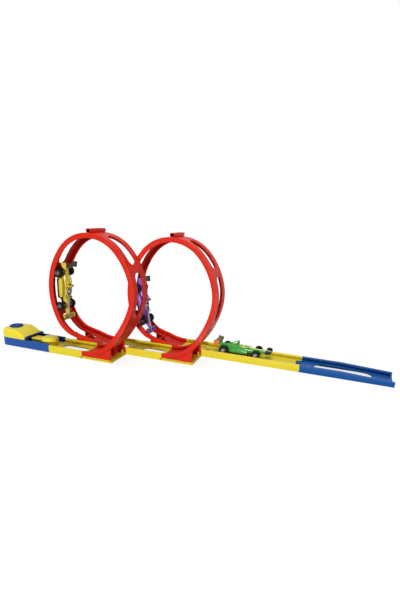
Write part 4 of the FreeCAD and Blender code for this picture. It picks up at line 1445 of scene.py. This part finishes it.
    def hood(self) -> Shell:
        """The yellow hood, one closed skin over the outside and back along the inside.

        Rings run up the outer wall, round the upper edge by a quarter circle, across the
        crown to the button's hole, and return at the wall's thickness. Across the crown a
        ring's point lies at a share of the way from the plan to the hole's circle.

        Returns:
            Its surface.
        """
        centre = np.array([self.button_x, 0.0])
        hole, edge, radius = self.button_radius + self.gap, self.hole_edge, self.hood_round
        flat = self.hood_plan(0.0)
        way = flat - centre
        way /= np.linalg.norm(way, axis=1, keepdims=True)
        eaves = self.crown(flat[:, 0]) - radius
        rows = [raised(flat, self.height + share * (eaves - self.height))
                for share in (0.0, 0.35, 0.7, 1.0)]
        for turn in np.radians((18, 36, 54, 72, 90)):
            flat = self.hood_plan(radius * (1 - math.cos(turn)))
            rows.append(raised(flat, self.crown(flat[:, 0]) - radius * (1 - math.sin(turn))))
        rim = self.hood_plan(radius)
        for share in np.linspace(0.1, 1.0, 14):
            flat = rim + share * (centre + way * (hole + edge) - rim)
            rows.append(raised(flat, self.crown(flat[:, 0])))
        for step, drop in ((0.1, 0.12), (0.0, edge), (0.0, self.hood_wall)):
            rows.append(raised(centre + way * (hole + step), self.hood_top - drop))
        rim = self.hood_plan(self.hood_wall + edge)
        for share in np.linspace(1.0, 0.0, 7)[1:]:
            flat = rim + share * (centre + way * hole - rim)
            rows.append(raised(flat, self.crown(flat[:, 0]) - self.hood_wall))
        flat = self.hood_plan(self.hood_wall)
        rows += [raised(flat, self.crown(flat[:, 0]) - self.hood_wall - edge), raised(flat, self.height)]
        return Shell().sheet(np.stack(rows), along=True, caps=False)

    def columns(self) -> Shell:
        """The four screw columns under the hood.

        Returns:
            Their surfaces.
        """
        made = Shell()
        foot, out, bore = self.deck + self.seam, self.column, self.column_bore
        for x in (self.back + self.corner + 1.0, self.hood_front - self.column_end):
            top = float(self.crown(x + out)) - 1.0
            for y in (-self.column_side, self.column_side):
                made.lathe([(foot, bore), (foot, out), (top, out), (top, bore)], (x, y, 0.0), "Z", 20, True)
        return made

    def mouth(self) -> Shell:
        """The navy portal under the hood's front edge.

        Returns:
            Its surface.
        """
        low, sill = self.deck, self.height + self.seam
        side = [(self.mouth_half, low), (self.mouth_leg, low), (self.mouth_leg, sill),
                (self.half, sill), (self.mouth_shoulder, self.mouth_top)]
        roof = [(-self.mouth_half, self.mouth_roof), (self.mouth_half, self.mouth_roof)]
        corners = side + [(-y, z) for y, z in side[::-1]] + roof
        start = self.hood_front + self.seam
        return Shell().plate(corners, self.mouth_edges, start, start + self.mouth_thick,
                             steps=5, plane="YZ")

    def button(self) -> Shell:
        """The button: a cap with a rounded rim and a faint dish, its flange and stem.

        Returns:
            Its surfaces.
        """
        top, edge = self.hood_top + self.button_proud, self.button_edge
        low = self.hood_top - self.hood_wall + 0.1
        turn = np.linspace(0.0, math.pi / 2, 6)
        rim = np.stack([top - edge + edge * np.sin(turn),
                        self.button_radius - edge + edge * np.cos(turn)], 1)
        face = [(top - drop, radius) for drop, radius in self.dish]
        made = Shell().lathe(np.concatenate([[(low, 0.05), (low, self.button_radius)], rim,
                                             face]), (self.button_x, 0.0, 0.0), "Z", 56)
        flange = low - self.flange_drop
        turn = np.radians(np.linspace(78.0, 282.0, 40))
        arc = np.stack([np.cos(turn), np.sin(turn)], 1)
        ring = self.flange_radius * arc + (self.button_x, 0.0)
        ring = ring[ring[:, 0] < self.button_x + self.flange_cut]
        made.slab(ring, flange - self.flange_thick, flange, "XY", 0.2)
        made.slab(self.button_radius * arc + (self.button_x, 0.0), flange - 0.1, low + 0.1, "XY", 0.02)
        x = self.button_x - self.stem_back
        return made.bar((x, 0.0, self.stem_low), (x, 0.0, flange - self.flange_thick / 2), self.stem, 16)

    def striker(self) -> Shell:
        """The striker: a bored plateau neck with a latch groove, and a bulging turned head.

        Returns:
            Its surfaces.
        """
        low = self.deck + self.neck_low
        start = self.back + self.neck_start
        middle = self.front - self.head_radius - self.head_end
        latch = self.back + self.latch_start + self.draw
        crown, side, bore = self.neck_top - self.neck_cap, self.neck_half, self.bore
        made = Shell()
        for x0, x1 in ((start, latch - self.notch[0]), (latch + self.notch[1], middle)):
            made.plate(rectangle((x0, crown), (x1, self.neck_top)), 0.5, -side, side, 0.6)
        for y0, y1 in ((-side, -bore), (bore, side)):
            made.block((start, y0, low), (middle, y1, crown + self.bore_lap))
        bore += self.bore_lap
        made.block((start, -bore, low), (middle, bore, low + self.bore_floor), 0.2)
        turn = np.linspace(0.0, math.pi / 2, 12)
        up, across = self.dome_powers
        dome = np.stack([self.head_edge + (self.head_top - self.head_edge)
                         * np.sin(turn) ** up,
                         self.head_radius * np.cos(turn) ** across + 0.02], 1)
        bottom = self.deck + self.gap
        foot = [(bottom + rise, self.head_radius - inset) for rise, inset in self.head_foot]
        return made.lathe(np.concatenate([[(bottom, 0.05)], foot, dome]), (middle, 0.0, 0.0), "Z", 64)

    def build(self) -> None:
        """Make every piece and dress it; the inner workings keep their CAD forms."""
        make_piece("launcher_tray", self.tray(), LAUNCHER_BLUE, ["launcher_base"])
        make_piece("hood_shell", self.hood().add(self.columns()), LAUNCHER_YELLOW, ["launcher_hood"])
        make_piece("mouth_portal", self.mouth(), MOUTH_NAVY, ["mouth_frame"])
        make_piece("push_button", self.button(), BUTTON_BLUE, ["launch_button"], "button")
        make_piece("striker_ram", self.striker(), LAUNCHER_YELLOW, ["striker"], "striker")
        self.springs()
        for node, finish in (("sear_lever", LEVER_WHITE), ("sear_pin", STEEL),
                             ("guide_rod", STEEL), ("hood_screws", STEEL)):
            repaint(node, finish)

    def springs(self) -> None:
        """Both springs, coils drawn in the places of the CAD springs."""
        low, high = corners_of("striker_spring")
        length, middle = high[0] - low[0], (low + high) / 2
        start = (low[0], middle[1], middle[2])
        coil = Shell().coil(start, "X", length, *self.striker_spring)
        made = make_piece("launch_spring", coil, SPRING_STEEL, ["striker_spring"])
        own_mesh(made)
        low, high = corners_of("sear_spring")
        length, middle = high[2] - low[2], (low + high) / 2
        coil = Shell().coil((middle[0], middle[1], low[2]), "Z", length, *self.latch_spring)
        made = make_piece("latch_spring", coil, SPRING_STEEL, ["sear_spring"])
        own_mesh(made)


# ---- the cars
class Livery(Enum):
    """The three cars."""

    GREEN = "green"
    YELLOW = "yellow"
    PURPLE = "purple"


@dataclass(frozen=True)
class Scheme:
    """The finishes of one car. The far end plate's finish is darker than the near one's, which is painted
    shade.
    """

    paint: Finish
    stripe: Finish
    wing: Finish
    near_plate: Finish
    # painted shade: the far end plate takes a darker finish than the near plate, for the shadow on its
    # inner face
    far_plate_painted_shade: Finish
    nose_wing: Finish
    under: Finish
    helmet: Finish


BLACK = Finish("black_plastic", (0.012, 0.012, 0.014), "black_plastic", roughness=0.42,
               scuffing=0.12, specular=0.12)
DARK = Finish("dark_plastic", (0.035, 0.034, 0.036), "dark_plastic", roughness=0.42)
BROWN = Finish("brown_plastic", (0.16, 0.075, 0.028), "brown_plastic", roughness=0.4)
OLIVE = Finish("olive_plastic", (0.13, 0.12, 0.045), "olive_plastic", roughness=0.4)
SMOKE = Finish("smoke_plastic", (0.085, 0.085, 0.055), "dark_plastic", roughness=0.4)
PALE = Finish("stripe_pale", (0.66, 0.66, 0.40), "yellow_paint", roughness=0.3, coat=0.2)
WHITE = Finish("helmet_white", (0.74, 0.74, 0.70), "lever_white", roughness=0.3, coat=0.2)
TYRE = Finish("wheel_black", (0.011, 0.011, 0.012), "wheel_black", roughness=0.62,
              grain=0.5, scuffing=0.08, specular=0.1)
SILVER = Finish("hub_silver", (0.24, 0.24, 0.25), "wheel_black", roughness=0.3, metallic=0.8)
ORANGE = Finish("plate_orange", (0.80, 0.17, 0.035), "brown_plastic", roughness=0.35)
GREEN = Finish("green_paint", (0.050, 0.35, 0.040), "green_paint", roughness=0.26, coat=0.3)
LIME = Finish("stripe_lime", (0.80, 0.84, 0.25), "green_paint", roughness=0.3, coat=0.2)
YELLOW = Finish("yellow_paint", (0.72, 0.58, 0.045), "yellow_paint", roughness=0.26, coat=0.3)
PURPLE = Finish("purple_paint", (0.24, 0.085, 0.46), "purple_paint", roughness=0.26, coat=0.3)
LILAC = Finish("stripe_lilac", (0.72, 0.66, 0.84), "purple_paint", roughness=0.3, coat=0.2)

# The fifth finish of each car, olive or dark, is darker than its near end plate's: painted shade.
SCHEMES: dict[Livery, Scheme] = {
    Livery.GREEN: Scheme(GREEN, LIME, OLIVE, ORANGE, OLIVE, BLACK, BROWN, LIME),
    Livery.YELLOW: Scheme(YELLOW, PALE, SMOKE, YELLOW, OLIVE, YELLOW, BLACK, WHITE),
    Livery.PURPLE: Scheme(PURPLE, LILAC, DARK, PURPLE, DARK, PURPLE, BLACK, LILAC),
}

# Sections: x in half wheelbases, half width, and bottom and top above the belly.
HULL = ((-1.38, 3.0, 3.4, 8.4), (-1.05, 4.8, 1.1, 9.4), (-0.57, 6.5, 0.1, 10.4),
        (-0.10, 6.9, 0.0, 10.2), (0.43, 5.9, 0.0, 9.7), (0.95, 4.1, 0.4, 8.1))
COWL = ((-1.28, 0.8, 5.0, 8.9), (-0.95, 1.9, 5.0, 10.4), (-0.57, 3.0, 5.0, 11.4), (-0.30, 3.2, 5.0, 12.4))
POD = ((-0.68, 1.8, 1.0, 5.2), (-0.58, 2.8, 0.4, 6.6), (-0.29, 3.6, 0.2, 7.4),
       (0.19, 3.6, 0.2, 6.8), (0.46, 2.8, 0.5, 5.4))
# The cockpit's lining, whose x counts from the seat.
LINING = ((-0.32, 2.4, 5.0, 5.9), (0.0, 4.2, 4.8, 6.0), (0.31, 1.9, 5.2, 6.2))
# Half of the underbody's outline: x in half wheelbases, and y.
UNDERBODY = ((1.2, 3.0), (0.66, 5.6), (0.46, 12.4), (-0.62, 12.4), (-0.72, 7.4), (-1.28, 6.8))
# Outlines at the back: x from the tail, and z.
STRUT = ((7.4, 10.4), (12.6, 10.4), (8.0, 19.8), (4.0, 19.8))
MAIN_PLANE = ((1.6, 20.4), (4.4, 19.6), (8.2, 19.3), (8.2, 20.1), (4.8, 20.5), (2.1, 21.4))
LOW_PLANE = ((3.2, 15.4), (8.0, 14.6), (8.0, 15.4), (3.4, 16.3))
END_PLATE = ((0.2, 13.4), (6.4, 14.2), (9.0, 17.6), (9.0, 20.9), (0.2, 22.0))
# Outlines at the front: x from the nose, and z above the front wing's underside.
NOSE_PLANE = ((-9.4, 0.5), (-0.7, 0.5), (0.0, 1.2), (-1.2, 1.9), (-9.4, 1.8))
NOSE_FLAP = ((-9.2, 3.0), (-5.4, 2.2), (-5.2, 2.7), (-9.0, 3.8))
NOSE_PLATE = ((-9.2, 0.0), (-0.5, 0.5), (-1.9, 4.0), (-8.0, 4.4))
# The stay behind the roll arch: x from the arch, and z above the belly.
STAY = ((-0.2, 16.4), (-17.0, 10.0))
# Blocks of trim: corners from a pod's front and from a mirror's back, z above the belly.
INTAKE = ((-0.6, -2.2, 1.0), (0.3, 2.2, 4.9))
MIRROR = ((0.0, -1.0, 8.6), (0.9, 1.0, 10.1))
# A mirror's stem: x from the mirror's back, y and z above the belly.
MIRROR_STEM = ((0.4, 6.0, 9.0), (0.4, 4.6, 8.0))
# The ring of the engine's air intake: x from its front, and radius.
AIR_RING = ((-0.9, 2.3), (0.0, 2.4), (0.0, 1.1), (-0.9, 1.1))
# A tyre's groove: distance from the tread's middle, and depth.
GROOVE = ((0.4, 0.0), (0.5, 0.2), (0.8, 0.2), (0.9, 0.0))
# A hub's outer face: distance beyond the wheel's side, and radius.
HUB_FACE = ((-0.3, 3.9), (-0.1, 3.65), (-0.3, 3.3), (-1.1, 2.7), (-1.1, 1.9), (-0.2, 1.7),
            (0.0, 1.5), (0.0, 1.02))
# The nose stripe across: share of its half width, and height above the hull.
STRIPE = ((-1.0, -0.06), (-0.66, 0.09), (-0.33, 0.12), (0.0, 0.13), (0.33, 0.12), (0.66, 0.09),
          (1.0, -0.06), (1.0, -0.6), (0.0, -0.6), (-1.0, -0.6))


@dataclass(frozen=True)
class Axle:
    """One axle: its end, way along X, wheels, and the side place of its arms' roots."""

    end: str
    way: float
    radius: float
    width: float
    root: float


@dataclass
class RacingCar:
    """An open-wheeled car, drawn along X with its wheels on z = 0, then stood in place.

    A name that ends in at is counted in half wheelbases, and all others in millimetres
    apart from shares and powers.
    """

    livery: Livery
    wheelbase: float = 51.0
    length: float = 90.0
    overhang: float = 16.0
    half_track: float = 16.2
    rear: Axle = Axle("rear", -1.0, 7.0, 6.4, 3.8)
    front: Axle = Axle("front", 1.0, 6.6, 5.2, 3.4)
    hub_back: float = 0.2
    bead: float = 3.85
    bead_edge: Pair = (0.3, 0.4)
    tyre_edge: float = 1.1
    belly: float = 4.6
    plate: float = 1.4
    clearance: float = 1.0
    hull_power: float = 2.5
    dent: float = 5.8
    dent_half: float = 5.0
    dent_share: float = 0.33
    dent_floor: float = 5.4
    dent_from: float = 6.5
    hoop_at: float = -0.40
    hoop_half: float = 6.3
    hoop_rise: float = 7.0
    hoop_low: float = 9.6
    hoop_lean: float = 0.8
    hoop_bar: float = 1.15
    stay_bar: float = 0.85
    pod_side: float = 9.0
    pod_at: float = 0.46
    mirror_at: float = 0.30
    mirror_side: float = 6.6
    air_at: float = -0.30
    air_high: float = 11.0
    rim_half: Pair = (4.5, 0.9)
    rim_bar: float = 0.75
    helmet_back: float = 1.6
    helmet_high: float = 8.4
    helmet_radii: Pair = (2.6, 2.4)
    stripe_share: float = 0.64
    stripe_at: float = 0.56
    strut_side: float = 2.6
    strut_half: float = 0.8
    end_plate_half: float = 0.7
    wing_half: float = 12.6
    nose_wing_half: float = 12.0
    nose_plate_half: float = 0.6
    flap: Pair = (2.6, 11.6)
    arm_gap: float = 0.4
    arm_lift: float = 0.6
    arm_bar: float = 0.45
    arm_steps: tuple[Pair, ...] = ((-4.0, 2.0), (4.0, 2.0), (-3.2, -1.4), (3.2, -1.4))

    @property
    def base(self) -> float:
        """Half of the wheelbase."""
        return self.wheelbase / 2

    @property
    def tail(self) -> float:
        """The rearmost x."""
        return -self.base - self.overhang

    @property
    def nose(self) -> float:
        """The foremost x."""
        return self.tail + self.length

    @property
    def seat(self) -> float:
        """The x of the cockpit's middle."""
        return 0.21 * self.base

    @property
    def wing_low(self) -> float:
        """Underside of the front wing, clear of the floor of a loop's side."""
        radius = LoopPath((0.0, 0.0)).side_radius - Moulding.floor
        return (self.nose ** 2 - self.base ** 2) / (2 * radius) + self.clearance

    def __post_init__(self) -> None:
        """Find the car's place from its wheels in the frame."""
        middles = []
        for end in ("rear", "front"):
            low, high = corners_of("%s_car_%s_wheels" % (self.livery.value, end))
            middles.append((low + high) / 2)
        way = middles[1] - middles[0]
        drop = self.front.radius - self.rear.radius
        lean = math.atan2(way[2], way[0]) - math.atan2(drop, self.wheelbase)
        self.origin = middles[0]
        self.turn = np.array([[math.cos(lean), 0.0, -math.sin(lean)], [0.0, 1.0, 0.0],
                              [math.sin(lean), 0.0, math.cos(lean)]])

    def stand(self, points: Grid) -> Grid:
        """Points of the car's own drawing, moved to its place."""
        return (points - (-self.base, 0.0, self.rear.radius)) @ self.turn.T + self.origin

    def save(self, name: str, shell: Shell, finish: Finish, replaced: Sequence[str],
             body: str = "car") -> None:
        """Stand a shell in place and make it a piece of this car.

        Args:
            name: the piece's name without the car's.
            shell: its surfaces as drawn.
            finish: its finish.
            replaced: CAD nodes it stands for, without the car's name.
            body: body it moves with, without the car's colour.
        """
        colour = self.livery.value
        shell.points = [self.stand(points) for points in shell.points]
        make_piece("%s_%s" % (colour, name), shell, finish,
                   ["%s_car_%s" % (colour, node) for node in replaced], "%s_%s" % (colour, body))

    def sections(self, rows: Sequence[Row]) -> Grid:
        """Sections in millimetres from rows like those of HULL."""
        return np.array(rows) * (self.base, 1, 1, 1) + (0.0, 0.0, self.belly, self.belly)

    def hull(self) -> Grid:
        """Sections of the fuselage, which ends in the nose over the front wing.

        Returns:
            Rows of x, half width, bottom and top.
        """
        tip = self.wing_low + 1.0
        return np.concatenate([self.sections(HULL), [
            (self.nose - 9.0, 2.9, tip - 2.3, tip + 2.1),
            (self.nose - 1.6, 1.6, tip + 0.1, tip + 1.7)]])

    def hull_at(self, x: Grid) -> Grid:
        """Half width, bottom and top of the fuselage at places along X, one row each."""
        rows = smooth_table(self.hull(), 240)
        return np.stack([np.interp(x, rows[:, 0], rows[:, k]) for k in (1, 2, 3)])

    def hull_face(self, low: Grid, top: Grid, share: Grid) -> Grid:
        """Height of the round top at a share of the half width: |share|^power + |lift|^power = 1."""
        room = np.clip(1.0 - np.abs(share) ** self.hull_power, 0.05, 1.0)
        return (top + low) / 2 + (top - low) / 2 * room ** (1 / self.hull_power)

    def press_cockpit(self, points: Grid) -> Grid:
        """Press the cockpit into the fuselage's points.

        The dent is deepest in its middle and fades by powers of cosines along x and across
        y. It moves only points above the middle height.

        Args:
            points: the fuselage's points.

        Returns:
            The points with the dent.
        """
        x, y, z = np.moveaxis(points, -1, 0)
        along = np.clip((x - self.seat) / (self.dent_share * self.base), -1.0, 1.0)
        across = np.clip(y / self.dent_half, -1.0, 1.0)
        deep = self.dent * np.cos(along * math.pi / 2) ** 0.6 * np.cos(across * math.pi / 2) ** 0.5
        pressed = np.maximum(z - deep, self.belly + self.dent_floor)
        z = np.where(z > self.belly + self.dent_from, pressed, z)
        return np.stack([x, y, z], axis=-1)

    def fuselage(self) -> Shell:
        """Nose, cockpit surround and engine cover, with pods, roll arch and wing struts.

        The arch is a tube along half of an ellipse, with one stay that slants back.

        Returns:
            Their surfaces.
        """
        low = self.belly
        hull = rounded_loft(self.hull(), 80, 44, self.hull_power)
        made = Shell().sheet(self.press_cockpit(hull))
        made.sheet(rounded_loft(self.sections(COWL), 24, 24, 2.4))
        turn = np.linspace(-0.15, math.pi + 0.15, 30)
        x, lean = self.seat + self.hoop_at * self.base, self.hoop_lean
        made.tube(np.stack([x - lean + lean * np.sin(turn), self.hoop_half * np.cos(turn),
                            low + self.hoop_low + self.hoop_rise * np.sin(turn)], 1),
                  self.hoop_bar, 14)
        start, end = ((x + ahead, 0.0, low + high) for ahead, high in STAY)
        made.bar(start, end, self.stay_bar, 12)
        for y in (-self.strut_side, self.strut_side):
            made.slab(np.array(STRUT) + (self.tail, 0.0), y - self.strut_half, y + self.strut_half)
        pod = rounded_loft(self.sections(POD), 28, 24, 3.2)
        for y in (-self.pod_side, self.pod_side):
            made.sheet(pod + (0.0, y, 0.0))
        return made

    def trim(self) -> Shell:
        """Black trim: intakes, cockpit lining, mirrors and air intake.

        Returns:
            Their surfaces.
        """
        b, low = self.base, self.belly
        made = Shell()
        mirror = self.seat + self.mirror_at * b
        for side in (-1.0, 1.0):
            pod = np.array([self.pod_at * b, side * self.pod_side, low])
            glass = np.array([mirror, side * self.mirror_side, low])
            made.block(*(pod + INTAKE), edge=0.4).block(*(glass + MIRROR), edge=0.35)
            stem = np.array(MIRROR_STEM) * (1.0, side, 1.0) + (mirror, 0.0, low)
            made.bar(*stem, 0.35, 8)
        lining = self.sections(LINING) + (self.seat, 0.0, 0.0, 0.0)
        made.sheet(rounded_loft(lining, 12, 20, 2.2))
        return made.lathe(AIR_RING, (self.air_at * b - AIR_RING[0][0], 0.0,
                                     low + self.air_high), "X", 20, True)

    def cockpit_rim(self) -> Shell:
        """The padded rim round the cockpit: a tube on an egg-shaped loop over the hull.

        Its side places follow a cosine and its lengths a sine, narrower towards the nose,
        and its height is the hull's own at that length and side.

        Returns:
            Its surface.
        """
        turn = np.linspace(0.0, 2 * math.pi, 48, endpoint=False)
        x = self.seat + self.dent_share * self.base * np.sin(turn)
        y = (self.rim_half[0] - self.rim_half[1] * np.sin(turn)) * np.cos(turn)
        half, low, top = self.hull_at(x)
        z = self.hull_face(low, top, y / half) + 0.1
        return Shell().tube(np.stack([x, y, z], 1), self.rim_bar, 10, True)

    def helmet(self) -> Shell:
        """The driver's helmet, a ball with a flattened chin.

        Returns:
            Its surface.
        """
        turn = np.linspace(-0.42 * math.pi, 0.5 * math.pi, 14)
        up, across = self.helmet_radii
        profile = np.stack([self.belly + self.helmet_high + up * np.sin(turn),
                            across * np.cos(turn) + 0.01], 1)
        return Shell().lathe(profile, (self.seat - self.helmet_back, 0.0, 0.0), "Z", 24)

    def stripe(self) -> Shell:
        """A raised stripe along the top of the nose, which follows the hull's round.

        Returns:
            Its surface.
        """
        x = np.linspace(self.stripe_at * self.base, self.nose - 1.8, 26)[:, None]
        half, low, top = self.hull_at(x)
        share, proud = np.array(STRIPE).T
        share = self.stripe_share * share
        height = self.hull_face(low, top, share) + proud
        return Shell().sheet(np.stack(np.broadcast_arrays(x, half * share, height), -1))

    def rear_wing(self) -> tuple[Shell, Shell, Shell]:
        """The rear wing.

        Returns:
            Its two planes, the near end plate and the far one.
        """
        at, half = np.array([self.tail, 0.0]), self.wing_half
        planes = Shell().plate(at + MAIN_PLANE, 0.45, -half, half, 0.1, 3)
        planes.plate(at + LOW_PLANE, 0.3, -half, half, 0.1, 3)
        thick = self.end_plate_half
        near, far = (Shell().plate(at + END_PLATE, 1.1, y - thick, y + thick, 0.25) for y in (-half, half))
        return planes, near, far

    def front_wing(self) -> Shell:
        """The front wing: a plane, a flap each side and upright end plates.

        Returns:
            Their surfaces.
        """
        at, half = np.array([self.nose, self.wing_low]), self.nose_wing_half
        made, thick = Shell(), self.nose_plate_half
        made.plate(at + NOSE_PLANE, 0.35, -half, half, 0.1, 3)
        for side in (-1.0, 1.0):
            root, tip = (side * y for y in self.flap)
            made.plate(at + NOSE_FLAP, 0.2, min(root, tip), max(root, tip), 0.1, 3)
            made.plate(at + NOSE_PLATE, 0.6, tip - thick, tip + thick, 0.2)
        return made

    def underbody(self) -> Shell:
        """The underbody plate with a soft rim.

        Returns:
            Its surface.
        """
        side = np.array(UNDERBODY) * (self.base, 1.0)
        top = self.belly - 0.1
        return Shell().slab(np.concatenate([side, side[::-1] * (1, -1)]), top - self.plate, top, "XY")

    def arms(self) -> Shell:
        """Suspension arms, four to a wheel, which stop short of the turning wheels.

        Returns:
            Their surfaces.
        """
        made = Shell()
        for sign in (-1.0, 1.0):
            for axle in (self.front, self.rear):
                x, tip = axle.way * self.base, self.half_track - axle.width - self.arm_gap
                for step, lift in self.arm_steps:
                    z = axle.radius + lift
                    made.bar((x + step, sign * axle.root, z + self.arm_lift),
                             (x, sign * tip, z), self.arm_bar, 8)
        return made

    def turned(self, axle: Axle, profile: Grid, sides: int) -> Shell:
        """The same turned form on both ends of an axle, each the other's mirror image.

        Args:
            axle: the axle.
            profile: distance outwards from the wheel's middle, and radius.
            sides: points round it.

        Returns:
            Their surfaces.
        """
        made = Shell()
        for side in (-1.0, 1.0):
            y = side * (self.half_track - axle.width / 2)
            made.lathe(profile * (side, 1.0), (axle.way * self.base, y, axle.radius), "Y", sides, True)
        return made

    def tyres(self, axle: Axle) -> Shell:
        """Both tyres of an axle: a turned tread with round shoulders and two grooves.

        Args:
            axle: the axle.

        Returns:
            Their surfaces.
        """
        half, radius = axle.width / 2, axle.radius
        edge, (narrow, rise) = self.tyre_edge, self.bead_edge
        turn = np.linspace(0.0, math.pi / 2, 6)
        shoulder = np.stack([half - edge + edge * np.sin(turn), radius - edge + edge * np.cos(turn)], 1)
        groove = [(away, radius - depth) for away, depth in GROOVE]
        bead = [(half, self.bead + rise), (half - narrow, self.bead)]
        side = np.concatenate([groove, shoulder, bead])
        profile = np.concatenate([side[::-1] * (-1, 1), side])
        return self.turned(axle, profile, 48)

    def hubs(self, axle: Axle) -> Shell:
        """Both hubs of an axle: dished discs with a nut.

        Args:
            axle: the axle.

        Returns:
            Their surfaces.
        """
        face = np.array(HUB_FACE) + (axle.width / 2, 0.0)
        back = [(self.hub_back - axle.width / 2, face[row, 1]) for row in (-1, 0)]
        return self.turned(axle, np.concatenate([back, face]), 32)

    def build(self) -> None:
        """Make every piece of the car and dress it."""
        scheme = SCHEMES[self.livery]
        planes, near, far = self.rear_wing()
        for name, shell, finish, replaced in (
                ("fuselage", self.fuselage(), scheme.paint, ["body"]),
                ("trim", self.trim(), BLACK, []),
                ("cockpit_rim", self.cockpit_rim(), scheme.stripe, []),
                ("helmet", self.helmet(), scheme.helmet, []),
                ("nose_stripe", self.stripe(), scheme.stripe, []),
                ("wing_planes", planes, scheme.wing, ["rear_wing"]),
                ("wing_plate_near", near, scheme.near_plate, []),
                # the far end plate's darker finish is painted shade
                ("wing_plate_far", far, scheme.far_plate_painted_shade, []),
                ("nose_wing", self.front_wing(), scheme.nose_wing, ["front_wing"]),
                ("underbody", self.underbody(), scheme.under, ["chassis"]),
                ("arms", self.arms(), BLACK, [])):
            self.save(name, shell, finish, replaced)
        for axle in (self.rear, self.front):
            end, wheelset = axle.end, axle.end + "_wheelset"
            self.save(end + "_tyres", self.tyres(axle), TYRE, [end + "_wheels"], wheelset)
            self.save(end + "_hubs", self.hubs(axle), SILVER, [], wheelset)
            repaint("%s_car_%s_axle" % (self.livery.value, end), STEEL)


# ---- the studio
@dataclass
class Studio:
    """Floor, background, lights and camera. Its angles are in degrees.

    Each sun has its name, the way that its light goes, its strength and how wide it looks.
    """

    yaw: float = 15.897
    pitch: float = 16.876
    roll: float = 3.406
    place: Triple = (0.3391, -0.4763, 0.2182)
    lens: float = 23.32
    shift: Pair = (-0.0383, 0.05)
    ambient: float = 0.10
    glow: float = 0.79
    suns: tuple[tuple[str, Triple, float, float], ...] = (
        ("front", (-0.05, 1.0, -0.06), 2.5, 9.0), ("top", (-0.1, -0.12, -1.0), 1.85, 55.0),
        ("right", (-1.0, 0.12, -0.2), 0.5, 14.0))

    def floor(self) -> None:
        """A plain pale floor that keeps the set's shadow."""
        mesh = bpy.data.meshes.new("floor")
        mesh.from_pydata([(-6, -6, 0), (6, -6, 0), (6, 6, 0), (-6, 6, 0)], [], [(0, 1, 2, 3)])
        made = bpy.data.objects.new("floor", mesh)
        bpy.context.scene.collection.objects.link(made)
        paper = bpy.data.materials.new("paper")
        paper.use_nodes = True
        nodes = paper.node_tree.nodes
        shader = feed(nodes["Principled BSDF"], {
            "Base Color": (0.31, 0.31, 0.31, 1.0), "Roughness": 0.9,
            "Specular IOR Level": 0.1})
        dark, glow = (feed(nodes.new("ShaderNodeEmission"), {"Strength": strength})
                      for strength in (0.0, self.glow))
        mix = feed(nodes.new("ShaderNodeMixShader"), {
            "Fac": self.seen(nodes), 1: dark.outputs["Emission"],
            2: glow.outputs["Emission"]})
        total = feed(nodes.new("ShaderNodeAddShader"), {
            0: shader.outputs["BSDF"], 1: mix.outputs["Shader"]})
        feed(nodes["Material Output"], {"Surface": total.outputs["Shader"]})
        made.data.materials.append(paper)

    def background(self) -> None:
        """White to the camera, and a softer white as light."""
        world = bpy.data.worlds.new("white")
        world.use_nodes = True
        bpy.context.scene.world = world
        nodes = world.node_tree.nodes
        light = feed(nodes["Background"], {"Color": (0.97, 0.985, 1.0, 1.0), "Strength": self.ambient})
        plain = feed(nodes.new("ShaderNodeBackground"), {"Color": (1.0, 1.0, 1.0, 1.0), "Strength": 1.0})
        mix = feed(nodes.new("ShaderNodeMixShader"), {
            "Fac": self.seen(nodes), 1: light.outputs["Background"],
            2: plain.outputs["Background"]})
        feed(nodes["World Output"], {"Surface": mix.outputs["Shader"]})

    @staticmethod
    def seen(nodes: bpy.types.Nodes) -> Socket:
        """Whether a ray comes from the camera or by way of a gloss or glass.

        Args:
            nodes: the tree's nodes.

        Returns:
            A socket that holds 1 for such a ray.
        """
        rays = nodes.new("ShaderNodeLightPath")
        made = rays.outputs["Is Camera Ray"]
        for name in ("Is Glossy Ray", "Is Transmission Ray"):
            larger = nodes.new("ShaderNodeMath")
            larger.operation = "MAXIMUM"
            made = feed(larger, {0: made, 1: rays.outputs[name]}).outputs["Value"]
        return made

    def lights(self) -> None:
        """The suns, of which a wide one gives soft shadows."""
        for name, way, strength, spread in self.suns:
            data = bpy.data.lights.new(name, "SUN")
            data.energy = strength
            data.angle = math.radians(spread)
            made = bpy.data.objects.new(name, data)
            made.matrix_world = Vector(way).to_track_quat("-Z", "Y").to_matrix().to_4x4()
            bpy.context.scene.collection.objects.link(made)

    def camera(self) -> None:
        """The camera, turned by its yaw, pitch and roll."""
        yaw, pitch, roll = (math.radians(a) for a in (self.yaw, self.pitch, self.roll))
        ahead = Vector((-math.sin(yaw) * math.cos(pitch), math.cos(yaw) * math.cos(pitch),
                        -math.sin(pitch)))
        right = Vector((math.cos(yaw), math.sin(yaw), 0.0))
        up = right.cross(ahead)
        across = right * math.cos(roll) + up * math.sin(roll)
        above = up * math.cos(roll) - right * math.sin(roll)
        data = bpy.data.cameras.new("camera")
        data.lens = self.lens
        data.sensor_width = 36.0
        data.shift_x, data.shift_y = self.shift
        data.clip_start = 0.01
        made = bpy.data.objects.new("camera", data)
        bpy.context.scene.collection.objects.link(made)
        turn = Matrix((across, above, -ahead)).transposed().to_4x4()
        made.matrix_world = Matrix.Translation(self.place) @ turn
        bpy.context.scene.camera = made

    def build(self) -> None:
        """Set up everything round the object."""
        self.floor()
        self.background()
        self.lights()
        self.camera()
        bpy.context.scene.view_settings.view_transform = "Standard"


# Each loop's number, its place and the length of the lane before it.
LOOPS = ((1, (0.0, 0.0), 58.0), (2, (108.0, 42.0), 52.0))


def main() -> None:
    """Build the set piece by piece."""
    logging.basicConfig(level=logging.INFO, format="%(name)s %(message)s")
    for number, place, lane_in in LOOPS:
        LoopBase(number, *place, lane_in).build()
    RunOut().build()
    ExitRamp().build()
    for number, place, _ in LOOPS:
        RedLoop(number, place).build()
    Launcher().build()
    for livery in Livery:
        RacingCar(livery).build()
    Studio().build()


if __name__ == "__main__":
    main()
